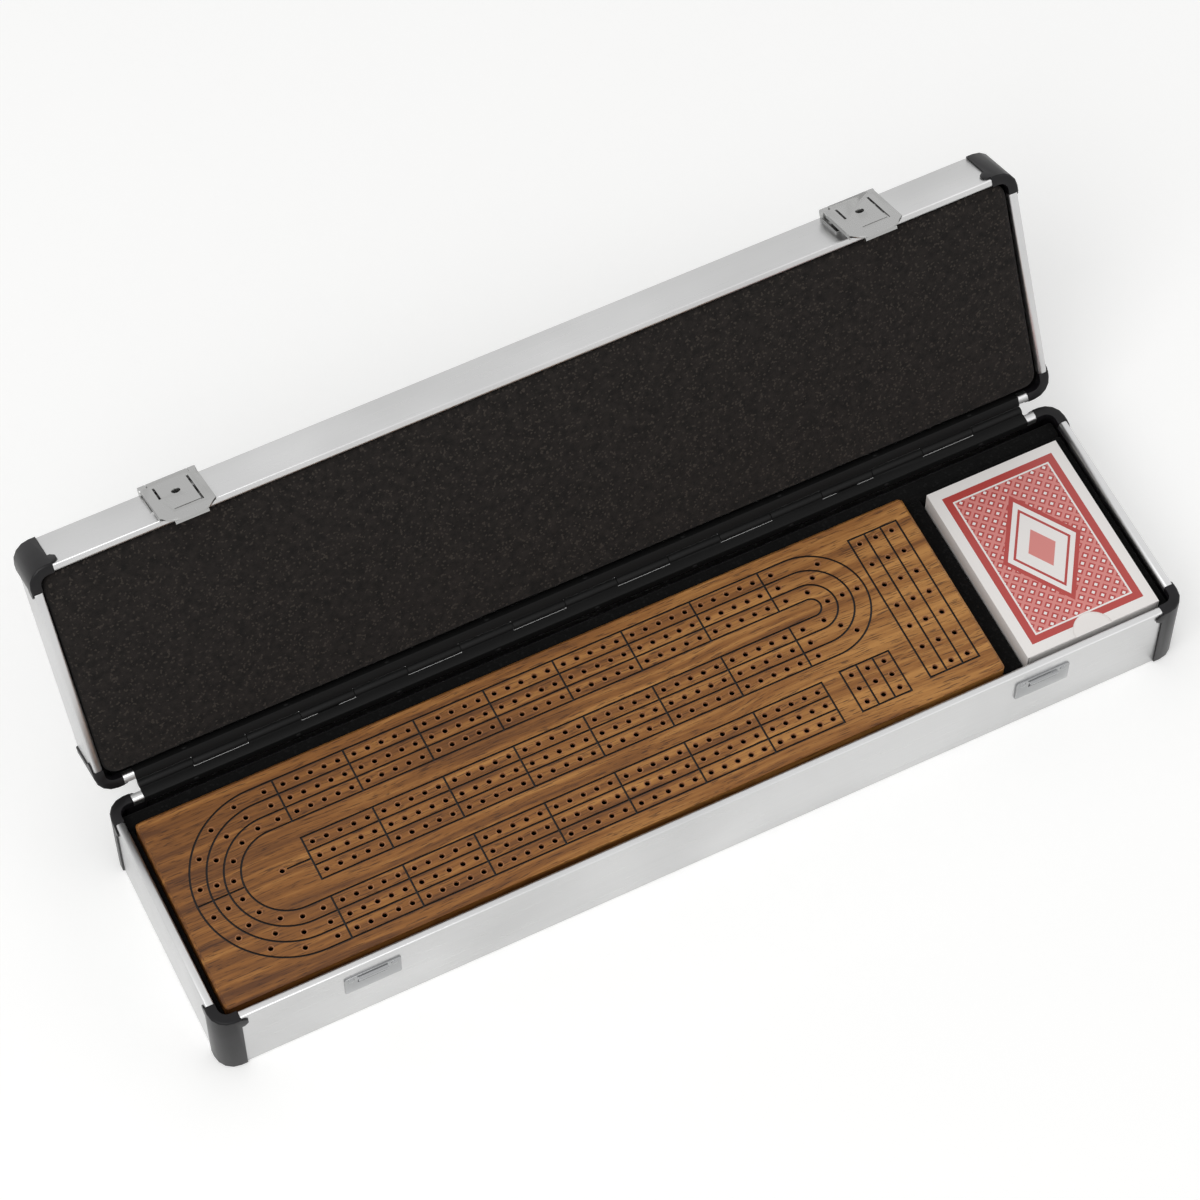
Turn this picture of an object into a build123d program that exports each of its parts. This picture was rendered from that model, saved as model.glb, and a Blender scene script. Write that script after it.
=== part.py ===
from build123d import *
import math
import os

# Cribbage set in an aluminium case, lid open on its stop.
# X runs along the case, the latch side faces -Y, Z is up, and the origin is the middle of the underside.

# case
case_length = 458.0  # over the rails
case_depth = 116.0
base_height = 42.0
lid_height = 24.0
rim_gap = 1.4  # between the two rims with the lid shut, filled by the hinge leaves
lid_open_angle = 116.0  # from shut to the stop

# rails: outer web, rolled rim and a ledge that the panel is held against
wall = 1.6
rim_width = 4.0
rim_depth = 4.0
rim_round = 1.6
rail_edge_round = 0.8
round_steps = 4  # flats in a rail's rounded edge
round_sides = 10  # flats round a knuckle, a rivet or a peg
ledge_width = 7.0
ledge_thick = 1.4
panel_thick = 3.0

# corner mouldings
corner_leg = 11.0
corner_round = 8.0
corner_proud = 0.8
corner_edge_chamfer = 0.6
tongue_reach = 6.0
tongue_thick = 1.5
ear_reach = 3.0
ear_drop = 4.0

# hinge
barrel_radius = 2.0
hinge_pin_radius = 1.0
pin_fit = 0.05  # radial running fit of every pin
leaf_thick = 0.6
hinge_end_gap = 2.0  # from the corner mouldings' ears
knuckle_count = 17
knuckle_gap = 0.3
part_gap = 0.3  # clearance between pieces that move past each other
stop_tab_width = 10.0
stop_tab_thick = 1.0
stop_tab_length = 6.0
hinge_rivet_count = 9
hinge_rivet_radius = 1.3
hinge_rivet_height = 0.5

# latches, at the same distance from both ends
latch_inset = 70.0  # from the end of the case to the middle of a latch
latch_width = 25.0
lever_length = 33.0  # from the pivot to the tip
lever_thick = 1.0
lever_stand_off = 3.6  # from the rail to the lever's inner face
lever_corner_round = 5.0
lever_lip = 1.4
lever_lip_height = 1.2
lever_flange = 1.5
latch_plate_thick = 0.8
latch_plate_length = 16.0
latch_barrel_radius = 2.0
latch_pin_radius = 0.9
latch_pivot_drop = 3.2  # below the top of the lid
latch_knuckle = 3.4
keyhole_radius = 2.0
keyhole_drop = 12.5
lever_slot = 1.0
rivet_radius = 1.7
rivet_height = 0.7

# keepers
keeper_width = 26.0
keeper_length = 13.0
keeper_drop = 6.0  # below the base's rim
keeper_thick = 0.8
keeper_ledge_width = 14.0
keeper_ledge_reach = 1.4
keeper_ledge_thick = 1.2
keeper_ledge_clear = 0.6  # above the lever's lip when latched
keeper_window = 3.4

# lining
lining_clear = 0.1
floor_gap = 0.3  # between the lining and what stands on it
strip_top_drop = 6.0  # top of the side strips below the rim
divider_top_drop = 10.0
rear_strip_thick = 7.4
pad_recess = 1.0  # lid pad's face inside the lid's rim
pad_edge_gap = 0.8
pad_rear_gap = 1.6
pad_corner_round = 6.0
pad_edge_round = 1.5

# board
board_length = 366.0
board_width = 96.0
board_thick = 19.0
board_back_thick = 8.0
board_top_drop = 0.5  # below the base's rim
board_left = 7.2  # board's left end from the end of the case
board_front = 6.6  # board's near edge from the front of the case
board_chamfer = 1.2
board_corner_round = 2.0

# track
hole_radius = 1.35
hole_sides = 6
hole_depth = 9.0
hole_pitch = 6.35
groups_per_row = 7
holes_per_group = 5
group_pitch = 33.0
track_start = 60.3  # first cross line from the board's left end
lane_pitch = 7.2
row_pitch = 30.4
big_turn_x = 49.5
small_turn_x = 304.6
turn_hole_inset = 5.0  # a turn's first hole from its cross line
big_turn_holes = 10
small_turn_holes = 5
groove_width = 0.9
groove_depth = 0.6
turn_steps = 12  # flats in a turn's half ring
finish_x = 46.9
games_x = 338.6
games_y = 13.6
games_columns = 3
games_rows = 7
games_pitch_x = 7.9
games_pitch_y = 11.5
start_x = 304.6
start_y = 11.6
start_rows = 3

# peg compartment in the underside
store_length = 82.0
store_width = 22.0
store_x = 60.0  # compartment's left end from the board's left end
cover_length = 90.0
cover_width = 26.0
cover_thick = 0.9
cover_travel = 84.0
cover_fit = 0.1
recess_depth = 2.6
guide_width = 4.0
guide_lip = 1.5
guide_lip_thick = 1.2

# pegs
peg_length = 27.0
peg_radius = 1.5
peg_tip_radius = 1.0
peg_head_radius = 1.9
peg_head_length = 5.0
peg_pitch = 4.3

# card carton
carton_width = 65.0
carton_length = 92.0
carton_thick = 18.5
carton_wall = 0.6
carton_gap = 0.6
carton_end_gap = 10.8  # between the board and the carton
thumb_radius = 9.0
card_gap = 0.4
card_corner_round = 3.5
flap_tuck = 16.0

half_length = case_length / 2
half_depth = case_depth / 2
hinge_y = half_depth + part_gap + barrel_radius
hinge_z = base_height + rim_gap / 2
hinge_axis = Axis((0, hinge_y, hinge_z), (1, 0, 0))
lid_bottom = base_height + rim_gap
lid_top = lid_bottom + lid_height
corner_ear_end = corner_leg + ear_reach
hinge_length = case_length - 2 * (corner_ear_end + hinge_end_gap)


def block(x0, x1, y0, y1, z0, z1):
    """A box between two corners."""
    return Pos((x0 + x1) / 2, (y0 + y1) / 2, (z0 + z1) / 2) * Box(x1 - x0, y1 - y0, z1 - z0)


def pin(x0, x1, y, z, radius):
    """A round pin along X."""
    return Pos((x0 + x1) / 2, y, z) * Rot(0, 90, 0) * Cylinder(radius, x1 - x0)


def rod(x0, x1, y, z, radius):
    """A many-sided rod along X, as thick as its corners reach."""
    section = Plane.YZ * RegularPolygon(radius, round_sides)
    return Pos(x0, y, z) * extrude(section, x1 - x0)


def bore(x0, x1, y, z, radius):
    """A many-sided hole along X that clears a rod of this radius all round."""
    return rod(x0, x1, y, z, radius / math.cos(math.pi / round_sides))


def stud(x, y, z, radius, height, top_radius):
    """A many-sided head standing on a face that looks along -Y."""
    foot = Plane((x, y, z), z_dir=(0, -1, 0)) * RegularPolygon(radius, round_sides)
    top = Plane((x, y - height, z), z_dir=(0, -1, 0)) * RegularPolygon(top_radius, round_sides)
    return loft([foot, top])


def round_points(x, y, radius, start_angle):
    """The points of a quarter round about (x, y), turning clockwise from its start angle."""
    points = []
    for step in range(round_steps + 1):
        angle = math.radians(start_angle - 90 * step / round_steps)
        points.append((x + radius * math.cos(angle), y + radius * math.sin(angle)))
    return points


def open_lid(piece):
    """Turns a piece from the shut lid's place to the open lid's."""
    return piece.rotate(hinge_axis, -lid_open_angle)


def as_lid(piece):
    """Turns a shell piece upside down on to the base's rim."""
    return Pos(0, 0, lid_top) * mirror(piece, Plane.XY)


# case shells


def rail(length, height):
    """A front rail along X: outer face on y = 0, inside towards +Y, rim at the top."""
    ledge_z = panel_thick
    rim_z = height - rim_depth
    points = (
        round_points(rail_edge_round, height - rail_edge_round, rail_edge_round, 180)
        + round_points(rim_width - rim_round, height - rim_round, rim_round, 90)
        + [
            (rim_width, rim_z),
            (wall, rim_z),
            (wall, ledge_z + ledge_thick),
            (ledge_width, ledge_z + ledge_thick),
            (ledge_width, ledge_z),
            (wall, ledge_z),
            (wall, 0),
        ]
        + round_points(rail_edge_round, rail_edge_round, rail_edge_round, 270)
    )
    section = make_face(Polyline(*points, close=True))
    return extrude(Plane.YZ * section, amount=length / 2, both=True)


def shell_rails(height):
    """The four rails of a shell with its rim at the top, each between two corner mouldings."""
    long_rail = rail(case_length - 2 * corner_leg, height)
    short_rail = rail(case_depth - 2 * corner_leg, height)
    return {
        "front": Pos(0, -half_depth, 0) * long_rail,
        "rear": Pos(0, half_depth, 0) * Rot(0, 0, 180) * long_rail,
        "left": Pos(-half_length, 0, 0) * Rot(0, 0, -90) * short_rail,
        "right": Pos(half_length, 0, 0) * Rot(0, 0, 90) * short_rail,
    }


def corner_plan(skin, inset):
    """An L between a line outside the case's faces by its skin and a line inside them by its inset."""
    outer = round_points(corner_round, corner_round, corner_round + skin, 270)
    inner = round_points(corner_round, corner_round, corner_round - inset, 270)
    tips = [(inset, corner_leg), (-skin, corner_leg)]
    return make_face(Polyline((corner_leg, -skin), *outer, *reversed(tips), *reversed(inner), (corner_leg, inset),
                              close=True))


def corner(height):
    """The front-left moulding, its corner at the origin and its legs along +X and +Y."""
    eased = corner_edge_chamfer
    low = Pos(0, 0, eased) * corner_plan(corner_proud, wall)
    moulding = extrude(low, height - 2 * eased)
    for z, direction in ((eased, -1), (height - eased, 1)):
        full = Pos(0, 0, z) * corner_plan(corner_proud, wall)
        narrow = Pos(0, 0, z + direction * eased) * corner_plan(corner_proud - eased, wall)
        moulding += loft([full, narrow] if direction > 0 else [narrow, full], ruled=True)
    moulding += Pos(0, 0, height - rim_depth) * extrude(corner_plan(corner_proud - eased, rim_width), rim_depth)
    tongue_z0 = panel_thick + ledge_thick + part_gap
    tongue_z1 = height - rim_depth - part_gap
    tongue_x0 = corner_leg - tongue_reach / 2
    tongue_x1 = corner_leg + tongue_reach
    tongue = block(tongue_x0, tongue_x1, wall, wall + tongue_thick, tongue_z0, tongue_z1)
    ear_x = corner_leg + ear_reach
    ear = block(corner_leg - ear_reach / 2, ear_x, -corner_proud, 0, height - ear_drop - ear_reach, height - ear_reach / 3)
    outer_edges = ear.edges().filter_by(Axis.Y).group_by(Axis.X)[-1]
    ear = chamfer(outer_edges, ear_reach * 0.6)
    leg_fittings = tongue + ear
    return moulding + leg_fittings + mirror(leg_fittings, Plane((0, 0, 0), z_dir=(1, -1, 0)))


def shell_corners(height):
    """The four mouldings of a shell, each a mirror of the front-left one."""
    front_left = Pos(-half_length, -half_depth, 0) * corner(height)
    rear_left = mirror(front_left, Plane.XZ)
    return {
        "front_left": front_left,
        "front_right": mirror(front_left, Plane.YZ),
        "rear_left": rear_left,
        "rear_right": mirror(rear_left, Plane.YZ),
    }


def shell_panel():
    """The panel between the webs, under the ledges."""
    x = half_length - corner_round
    y = half_depth - corner_round
    radius = corner_round - wall
    points = (
        round_points(-x, -y, radius, 270)
        + round_points(-x, y, radius, 180)
        + round_points(x, y, radius, 90)
        + round_points(x, -y, radius, 0)
    )
    return extrude(make_face(Polyline(*points, close=True)), panel_thick)


# hinge


def knuckle_span(index):
    """Where a knuckle starts and ends along X."""
    step = hinge_length / knuckle_count
    start = index * step - hinge_length / 2
    return start + knuckle_gap / 2, start + step - knuckle_gap / 2


def hinge_leaf(first_knuckle):
    """The base's leaf on its rim, folded over the inner edge, with every second knuckle."""
    rim_inner = half_depth - rim_width
    leaf_z0 = base_height
    leaf_z1 = base_height + leaf_thick
    clear_y = hinge_y - barrel_radius - part_gap
    half = hinge_length / 2
    leaf = block(-half, half, rim_inner - leaf_thick, clear_y, leaf_z0, leaf_z1)
    leaf += block(-half, half, rim_inner - leaf_thick, rim_inner, base_height - rim_depth, leaf_z1)
    for index in range(first_knuckle, knuckle_count, 2):
        x0, x1 = knuckle_span(index)
        leaf += rod(x0, x1, hinge_y, hinge_z, barrel_radius)
        leaf += block(x0, x1, clear_y, hinge_y, leaf_z0, leaf_z1)
    return leaf - bore(-half, half, hinge_y, hinge_z, hinge_pin_radius + pin_fit)


def stop_tabs():
    """Two tabs under the lid's knuckles that meet the base's rear rail when the lid is open."""
    tab_y0 = half_depth + part_gap
    tabs = []
    for index in (3, knuckle_count - 4):  # these belong to the lid
        x0, x1 = knuckle_span(index)
        middle = (x0 + x1) / 2
        tab = block(
            middle - stop_tab_width / 2,
            middle + stop_tab_width / 2,
            tab_y0,
            tab_y0 + stop_tab_thick,
            hinge_z - stop_tab_length,
            hinge_z - hinge_pin_radius - pin_fit - stop_tab_thick / 4,
        )
        tabs.append(tab)
    return tabs


def hinge_rivets():
    """Rivet heads on the base leaf's fold."""
    face_y = half_depth - rim_width - leaf_thick
    step = hinge_length / hinge_rivet_count
    heads = []
    for index in range(hinge_rivet_count):
        x = (index + 0.5) * step - hinge_length / 2
        heads.append(stud(x, face_y, base_height - rim_depth / 2, hinge_rivet_radius, hinge_rivet_height,
                          hinge_rivet_radius * 0.8))
    return heads


# latches, in the shut lid's place, with the front rail's face on y = -half_depth

pivot_z = lid_top - latch_pivot_drop
lever_inner_y = -half_depth - lever_stand_off - latch_plate_thick
pivot_y = lever_inner_y - lever_thick + latch_barrel_radius + lever_thick / 5
lever_tip_z = pivot_z - lever_length


def latch_plate():
    """The plate on the lid's front rail, with a knuckle at each end of the pivot."""
    half = latch_width / 2 + latch_plate_thick / 2
    face_y = -half_depth - latch_plate_thick
    top_z = pivot_z + latch_barrel_radius
    plate = block(-half, half, face_y, -half_depth, top_z - latch_plate_length, top_z)
    for side in (-1, 1):
        x0, x1 = sorted((side * half, side * (half - latch_knuckle)))
        plate += rod(x0, x1, pivot_y, pivot_z, latch_barrel_radius)
        plate += block(x0, x1, pivot_y, face_y, pivot_z, top_z)
    return plate - bore(-half, half, pivot_y, pivot_z, latch_pin_radius + pin_fit)


def latch_lever():
    """The pressed lever: slotted face, side flanges, a knuckle and a lip that goes under the keeper."""
    half = latch_width / 2
    outer_y = lever_inner_y - lever_thick
    shoulder_z = pivot_z - latch_barrel_radius - part_gap * 2
    face = block(-half, half, outer_y, lever_inner_y, lever_tip_z, shoulder_z)
    tip_edges = face.edges().filter_by(Axis.Y).group_by(Axis.Z)[0]
    face = chamfer(tip_edges, lever_corner_round)
    face = chamfer(face.edges().filter_by(Axis.Y).group_by(Axis.Z)[0], lever_corner_round / 3)
    knuckle_half = half + latch_plate_thick / 2 - latch_knuckle - part_gap
    face += block(-knuckle_half, knuckle_half, outer_y, lever_inner_y, shoulder_z, pivot_z)
    face += rod(-knuckle_half, knuckle_half, pivot_y, pivot_z, latch_barrel_radius)
    lip_half = half - lever_corner_round
    face += block(-lip_half, lip_half, lever_inner_y, lever_inner_y + lever_lip, lever_tip_z,
                  lever_tip_z + lever_lip_height)
    for side in (-1, 1):
        x0, x1 = sorted((side * half, side * (half - lever_thick)))
        face += block(x0, x1, lever_inner_y, lever_inner_y + lever_flange, lever_tip_z + lever_corner_round + 1,
                      shoulder_z)
    cut_y0, cut_y1 = outer_y - 1, lever_inner_y + part_gap
    slot_x = half - latch_knuckle - lever_slot
    slot_top = shoulder_z - lever_slot * 2
    slot_foot = lever_tip_z + lever_lip_height + 6 * lever_slot
    face -= block(-slot_x, lever_slot - slot_x, cut_y0, cut_y1, pivot_z - keyhole_drop - keyhole_radius, slot_top)
    face -= block(slot_x - lever_slot, slot_x, cut_y0, cut_y1, slot_foot, slot_top)
    face -= block(-slot_x * 0.6, slot_x, cut_y0, cut_y1, slot_foot, slot_foot + lever_slot)
    face -= stud(0, cut_y1, pivot_z - keyhole_drop, keyhole_radius, cut_y1 - cut_y0, keyhole_radius)
    return face - bore(-half, half, pivot_y, pivot_z, latch_pin_radius + pin_fit)


# keepers

keeper_top = base_height - keeper_drop
keeper_face_y = -half_depth - keeper_thick
keeper_ledge_z = lever_tip_z + lever_lip_height + keeper_ledge_clear


def keeper():
    """A plate on the base's front rail with a ledge lanced out of it."""
    half = keeper_width / 2
    plate = block(-half, half, keeper_face_y, -half_depth, keeper_top - keeper_length, keeper_top)
    plate = chamfer(plate.edges().filter_by(Axis.Y), keeper_thick)
    ledge_half = keeper_ledge_width / 2
    plate += block(-ledge_half, ledge_half, keeper_face_y - keeper_ledge_reach, keeper_face_y, keeper_ledge_z,
                   keeper_ledge_z + keeper_ledge_thick)
    return plate - block(-ledge_half, ledge_half, keeper_face_y - 1, -half_depth + 1,
                         keeper_ledge_z - keeper_window, keeper_ledge_z)


# lining

board_x0 = board_left - half_length
board_x1 = board_x0 + board_length
board_y0 = board_front - half_depth
board_y1 = board_y0 + board_width
board_z1 = base_height - board_top_drop
board_z0 = board_z1 - board_thick
carton_x0 = board_x1 + carton_end_gap
carton_x1 = carton_x0 + carton_width
carton_y0 = board_y0
carton_y1 = carton_y0 + carton_length
carton_z0 = board_z0
carton_z1 = carton_z0 + carton_thick
lining_x = half_length - rim_width - lining_clear
lining_y = half_depth - rim_width - lining_clear
lining_z0 = panel_thick + ledge_thick
floor_z = board_z0 - floor_gap
strip_z = base_height - strip_top_drop


def soft_block(x0, x1, y0, y1, z0, z1, edge_round):
    """A block of lining with its top edges eased."""
    piece = block(x0, x1, y0, y1, z0, z1)
    return chamfer(piece.faces().sort_by(Axis.Z)[-1].edges(), edge_round)


def lining_pieces():
    """The lining: a floor, four strips along the rails and the divider."""
    left_x = board_x0 - carton_gap
    right_x = carton_x1 + carton_gap
    front_y = board_y0 - carton_gap
    rear_y = half_depth - rim_width - leaf_thick - hinge_rivet_height - part_gap
    strip_round = (lining_y + front_y) / 2 * 0.6
    return {
        "lining_floor": block(-lining_x, lining_x, -lining_y, lining_y, lining_z0, floor_z),
        "lining_left_strip": soft_block(-lining_x, left_x, front_y, board_y1, floor_z, strip_z, strip_round),
        "lining_right_strip": soft_block(right_x, lining_x, front_y, board_y1, floor_z, strip_z, strip_round),
        "lining_front_strip": soft_block(-lining_x, lining_x, -lining_y, front_y, floor_z, strip_z, strip_round),
        "lining_rear_strip": soft_block(-lining_x, lining_x, rear_y - rear_strip_thick, rear_y, floor_z, strip_z,
                                        strip_round),
        "lining_divider": soft_block(board_x1 + carton_gap, carton_x0 - carton_gap, front_y, board_y1, floor_z,
                                     base_height - divider_top_drop, strip_round),
    }


def lid_pad():
    """The foam pad that fills the lid, in the shut lid's place."""
    x = half_length - rim_width - pad_edge_gap
    y0 = rim_width + pad_edge_gap - half_depth
    y1 = half_depth - rim_width - leaf_thick - hinge_rivet_height - pad_edge_gap
    pad = block(-x, x, y0, y1, lid_bottom + pad_recess, lid_top - panel_thick - ledge_thick)
    pad = chamfer(pad.edges().filter_by(Axis.Z), pad_corner_round / 2)
    return chamfer(pad.faces().sort_by(Axis.Z)[0].edges(), pad_edge_round)


# board

row_middle = board_width / 2
track_end = track_start + groups_per_row * group_pitch
lane_offsets = (-lane_pitch, 0, lane_pitch)
line_offsets = (-1.5 * lane_pitch, -0.5 * lane_pitch, 0.5 * lane_pitch, 1.5 * lane_pitch)
row_heights = (row_middle - row_pitch, row_middle, row_middle + row_pitch)


def row_holes():
    """Groups of five along the three straight rows."""
    margin = (group_pitch - (holes_per_group - 1) * hole_pitch) / 2
    places = []
    for row_y in row_heights:
        for group in range(groups_per_row):
            for hole in range(holes_per_group):
                x = track_start + group * group_pitch + margin + hole * hole_pitch
                places += [(x, row_y + offset) for offset in lane_offsets]
    return places


def turn_holes(middle_x, middle_y, mean_radius, straight, count, direction):
    """Holes at equal steps along each lane of a turn: straight, half circle, straight."""
    places = []
    for offset in lane_offsets:
        radius = mean_radius + offset
        run = straight - turn_hole_inset
        step = (2 * run + math.pi * radius) / (count - 1)
        for index in range(count):
            along = index * step - run
            if 0 <= along <= math.pi * radius:
                angle = along / radius
                x, y = radius * math.sin(angle), radius * math.cos(angle)
            elif along < 0:
                x, y = along, radius
            else:
                x, y = math.pi * radius - along, -radius
            places.append((middle_x + direction * x, middle_y + y))
    return places


def grid_holes(x, y, columns, rows, pitch_x, pitch_y):
    return [(x + column * pitch_x, y + row * pitch_y) for column in range(columns) for row in range(rows)]


def track_holes():
    """Every peg hole, from the board's near left corner."""
    return (
        row_holes()
        + turn_holes(big_turn_x, row_middle, row_pitch, track_start - big_turn_x, big_turn_holes, -1)
        + turn_holes(small_turn_x, row_middle + row_pitch / 2, row_pitch / 2, small_turn_x - track_end,
                     small_turn_holes, 1)
        + grid_holes(games_x, games_y, games_columns, games_rows, games_pitch_x, games_pitch_y)
        + grid_holes(start_x, start_y, games_columns, start_rows, games_pitch_x, lane_pitch)
        + [(finish_x, row_middle)]
    )


def groove(x0, y0, x1, y1):
    """A straight groove along X or Y, its ends square."""
    half = groove_width / 2
    width, height = x1 - x0 + 2 * half, y1 - y0 + 2 * half
    return Pos((x0 + x1) / 2, (y0 + y1) / 2) * Rectangle(width, height)


def half_circle(middle_x, middle_y, radius, direction):
    """The points of a half circle of short runs, from its top round to its bottom."""
    points = []
    for step in range(turn_steps + 1):
        angle = math.pi * step / turn_steps
        points.append((middle_x + direction * radius * math.sin(angle), middle_y + radius * math.cos(angle)))
    return points


def turn_grooves(middle_x, middle_y, mean_radius, straight, direction):
    """The four half rings of a turn and their straight runs to the rows."""
    sketches = []
    for offset in line_offsets:
        radius = mean_radius + offset
        outer = half_circle(middle_x, middle_y, radius + groove_width / 2, direction)
        inner = half_circle(middle_x, middle_y, radius - groove_width / 2, direction)
        sketches.append(make_face(Polyline(*outer, *reversed(inner), close=True)))
        run_x0, run_x1 = sorted((middle_x, middle_x - direction * straight))
        sketches += [groove(run_x0, middle_y + side * radius, run_x1, middle_y + side * radius) for side in (-1, 1)]
    return sketches


def grid_grooves(x, y, columns, rows, pitch_x, pitch_y):
    """The outline of a block of holes and the lines between its columns."""
    x0, x1 = x - pitch_x / 2, x + (columns - 0.5) * pitch_x
    y0, y1 = y - lane_pitch / 2, y + (rows - 1) * pitch_y + lane_pitch / 2
    sketches = [groove(x0 + column * pitch_x, y0, x0 + column * pitch_x, y1) for column in range(columns + 1)]
    return sketches + [groove(x0, y0, x1, y0), groove(x0, y1, x1, y1)]


def track_grooves():
    """All grooves as one flat sketch, from the board's near left corner."""
    sketches = []
    for row_y in row_heights:
        for offset in line_offsets:
            sketches.append(groove(track_start, row_y + offset, track_end, row_y + offset))
        for group in range(groups_per_row + 1):
            x = track_start + group * group_pitch
            sketches.append(groove(x, row_y + line_offsets[0], x, row_y + line_offsets[-1]))
    sketches += turn_grooves(big_turn_x, row_middle, row_pitch, track_start - big_turn_x, -1)
    sketches += turn_grooves(small_turn_x, row_middle + row_pitch / 2, row_pitch / 2,
                             small_turn_x - track_end, 1)
    turn_line = big_turn_x - row_pitch
    sketches.append(groove(turn_line + line_offsets[0], row_middle, turn_line + line_offsets[-1], row_middle))
    sketches.append(groove(finish_x + 2 * hole_radius, row_middle, track_start, row_middle))
    sketches += grid_grooves(games_x, games_y, games_columns, games_rows, games_pitch_x, games_pitch_y)
    sketches += grid_grooves(start_x, start_y, games_columns, start_rows, games_pitch_x, lane_pitch)
    return Sketch() + sketches


def hole_cutter():
    """A many-sided tapered point, its mouth a little above the board's face."""
    mouth = []
    for step in range(hole_sides):
        angle = 2 * math.pi * (step + 0.5) / hole_sides
        mouth.append((hole_radius * math.cos(angle), hole_radius * math.sin(angle), 0))
    tip = (0, 0, -hole_depth)
    sides = [Face(Wire.make_polygon([mouth[step - 1], mouth[step], tip])) for step in range(hole_sides)]
    return Solid(Shell(sides + [Face(Wire.make_polygon(mouth))]))


def board_top():
    """The playing layer with its tapered holes and routed lines."""
    split_z = board_z0 + board_back_thick
    layer = block(board_x0, board_x1, board_y0, board_y1, split_z, board_z1)
    layer = fillet(layer.edges().filter_by(Axis.Z), board_corner_round)
    layer = chamfer(layer.faces().sort_by(Axis.Z)[-1].edges(), board_chamfer)
    corner_place = Pos(board_x0, board_y0, board_z1)
    layer -= corner_place * extrude(track_grooves(), -groove_depth)
    cutter = hole_cutter()
    return layer - [corner_place * Pos(x, y, 0) * cutter for x, y in track_holes()]


# peg store, measured in the board's place

store_x0 = board_x0 + store_x
store_x1 = store_x0 + store_length
store_y = (board_y0 + board_y1) / 2
recess_x0 = store_x0 - (cover_length - store_length) / 2 - part_gap
recess_x1 = recess_x0 + cover_length + cover_travel + 2 * part_gap
recess_half = cover_width / 2 + cover_fit + guide_width - guide_lip
recess_z = board_z0 + recess_depth
cover_z1 = recess_z - cover_fit
cover_z0 = cover_z1 - cover_thick
guide_lip_z = cover_z0 - cover_fit


def board_back():
    """The layer glued under the playing layer, with the peg compartment and the cover's recess."""
    layer = block(board_x0, board_x1, board_y0, board_y1, board_z0, board_z0 + board_back_thick)
    layer = fillet(layer.edges().filter_by(Axis.Z), board_corner_round)
    layer -= block(recess_x0, recess_x1, store_y - recess_half, store_y + recess_half, board_z0 - 1, recess_z)
    return layer - block(store_x0, store_x1, store_y - store_width / 2, store_y + store_width / 2,
                         recess_z - 1, board_z0 + board_back_thick + 1)


def cover_guides():
    """Two strips in the recess that hold the cover's edges."""
    guides = []
    for side in (-1, 1):
        outer = store_y + side * recess_half
        inner = store_y + side * (cover_width / 2 - guide_lip)
        wall_line = store_y + side * (cover_width / 2 + cover_fit)
        y0, y1 = sorted((outer, inner))
        lip = block(recess_x0, recess_x1, y0, y1, guide_lip_z - guide_lip_thick, guide_lip_z)
        y0, y1 = sorted((outer, wall_line))
        guides.append(lip + block(recess_x0, recess_x1, y0, y1, guide_lip_z, recess_z))
    return guides


def peg_cover():
    """The sliding plate with a pressed thumb ridge."""
    x0 = recess_x0 + part_gap
    plate = block(x0, x0 + cover_length, store_y - cover_width / 2, store_y + cover_width / 2, cover_z0, cover_z1)
    ridge_half = cover_width / 2 - guide_lip - 2
    ridge_x = x0 + 8
    return plate + block(ridge_x, ridge_x + 2, store_y - ridge_half, store_y + ridge_half, cover_z0 - cover_thick,
                         cover_z0)


def peg():
    """A tapered peg along X with a wider head."""
    half = peg_length / 2
    shank = peg_length - peg_head_length
    widening = math.degrees(math.atan((peg_radius - peg_tip_radius) / shank))
    tip = Plane.YZ * RegularPolygon(peg_tip_radius, round_sides)
    return Pos(-half, 0, 0) * extrude(tip, shank, taper=-widening) + rod(half - peg_head_length, half, 0, 0,
                                                                         peg_head_radius)


def peg_sets():
    """Three sets of three, side by side in the compartment."""
    half = peg_length / 2
    lie_z = cover_z1 + part_gap + peg_head_radius
    sets = {"pegs_steel": [], "pegs_brass": [], "pegs_black": []}
    for index in range(9):
        column, row = divmod(index, 5)
        x = store_x0 + 1 + half + column * (peg_length + 1)
        y = store_y + (row - 2) * peg_pitch
        name = list(sets)[index // 3]
        sets[name].append(Pos(x, y, lie_z) * peg())
    return sets


# card carton

thumb_x = (carton_x0 + carton_x1) / 2


def carton():
    """A carton open at its near end, with a thumb cut in the upper face."""
    shell = block(carton_x0, carton_x1, carton_y0, carton_y1, carton_z0, carton_z1)
    inside = block(carton_x0 + carton_wall, carton_x1 - carton_wall, carton_y0 - 1, carton_y1 - carton_wall,
                   carton_z0 + carton_wall, carton_z1 - carton_wall)
    thumb = Pos(thumb_x, carton_y0, carton_z1 - carton_wall / 2) * Cylinder(thumb_radius, carton_wall * 2)
    return shell - inside - thumb


def carton_flap():
    """The near end's flap and the tab tucked in under the upper face."""
    x0, x1 = carton_x0 + carton_wall + card_gap, carton_x1 - carton_wall - card_gap
    inner_y = carton_y0 + carton_wall
    z0, z1 = carton_z0 + carton_wall, carton_z1 - carton_wall - card_gap / 4
    end = block(x0, x1, carton_y0, inner_y, z0, z1)
    tab = block(x0, x1, carton_y0, inner_y + flap_tuck, z1 - carton_wall, z1)
    tab_corners = tab.edges().filter_by(Axis.Z).group_by(Axis.Y)[-1]
    return end + fillet(tab_corners, card_corner_round * 2)


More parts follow.
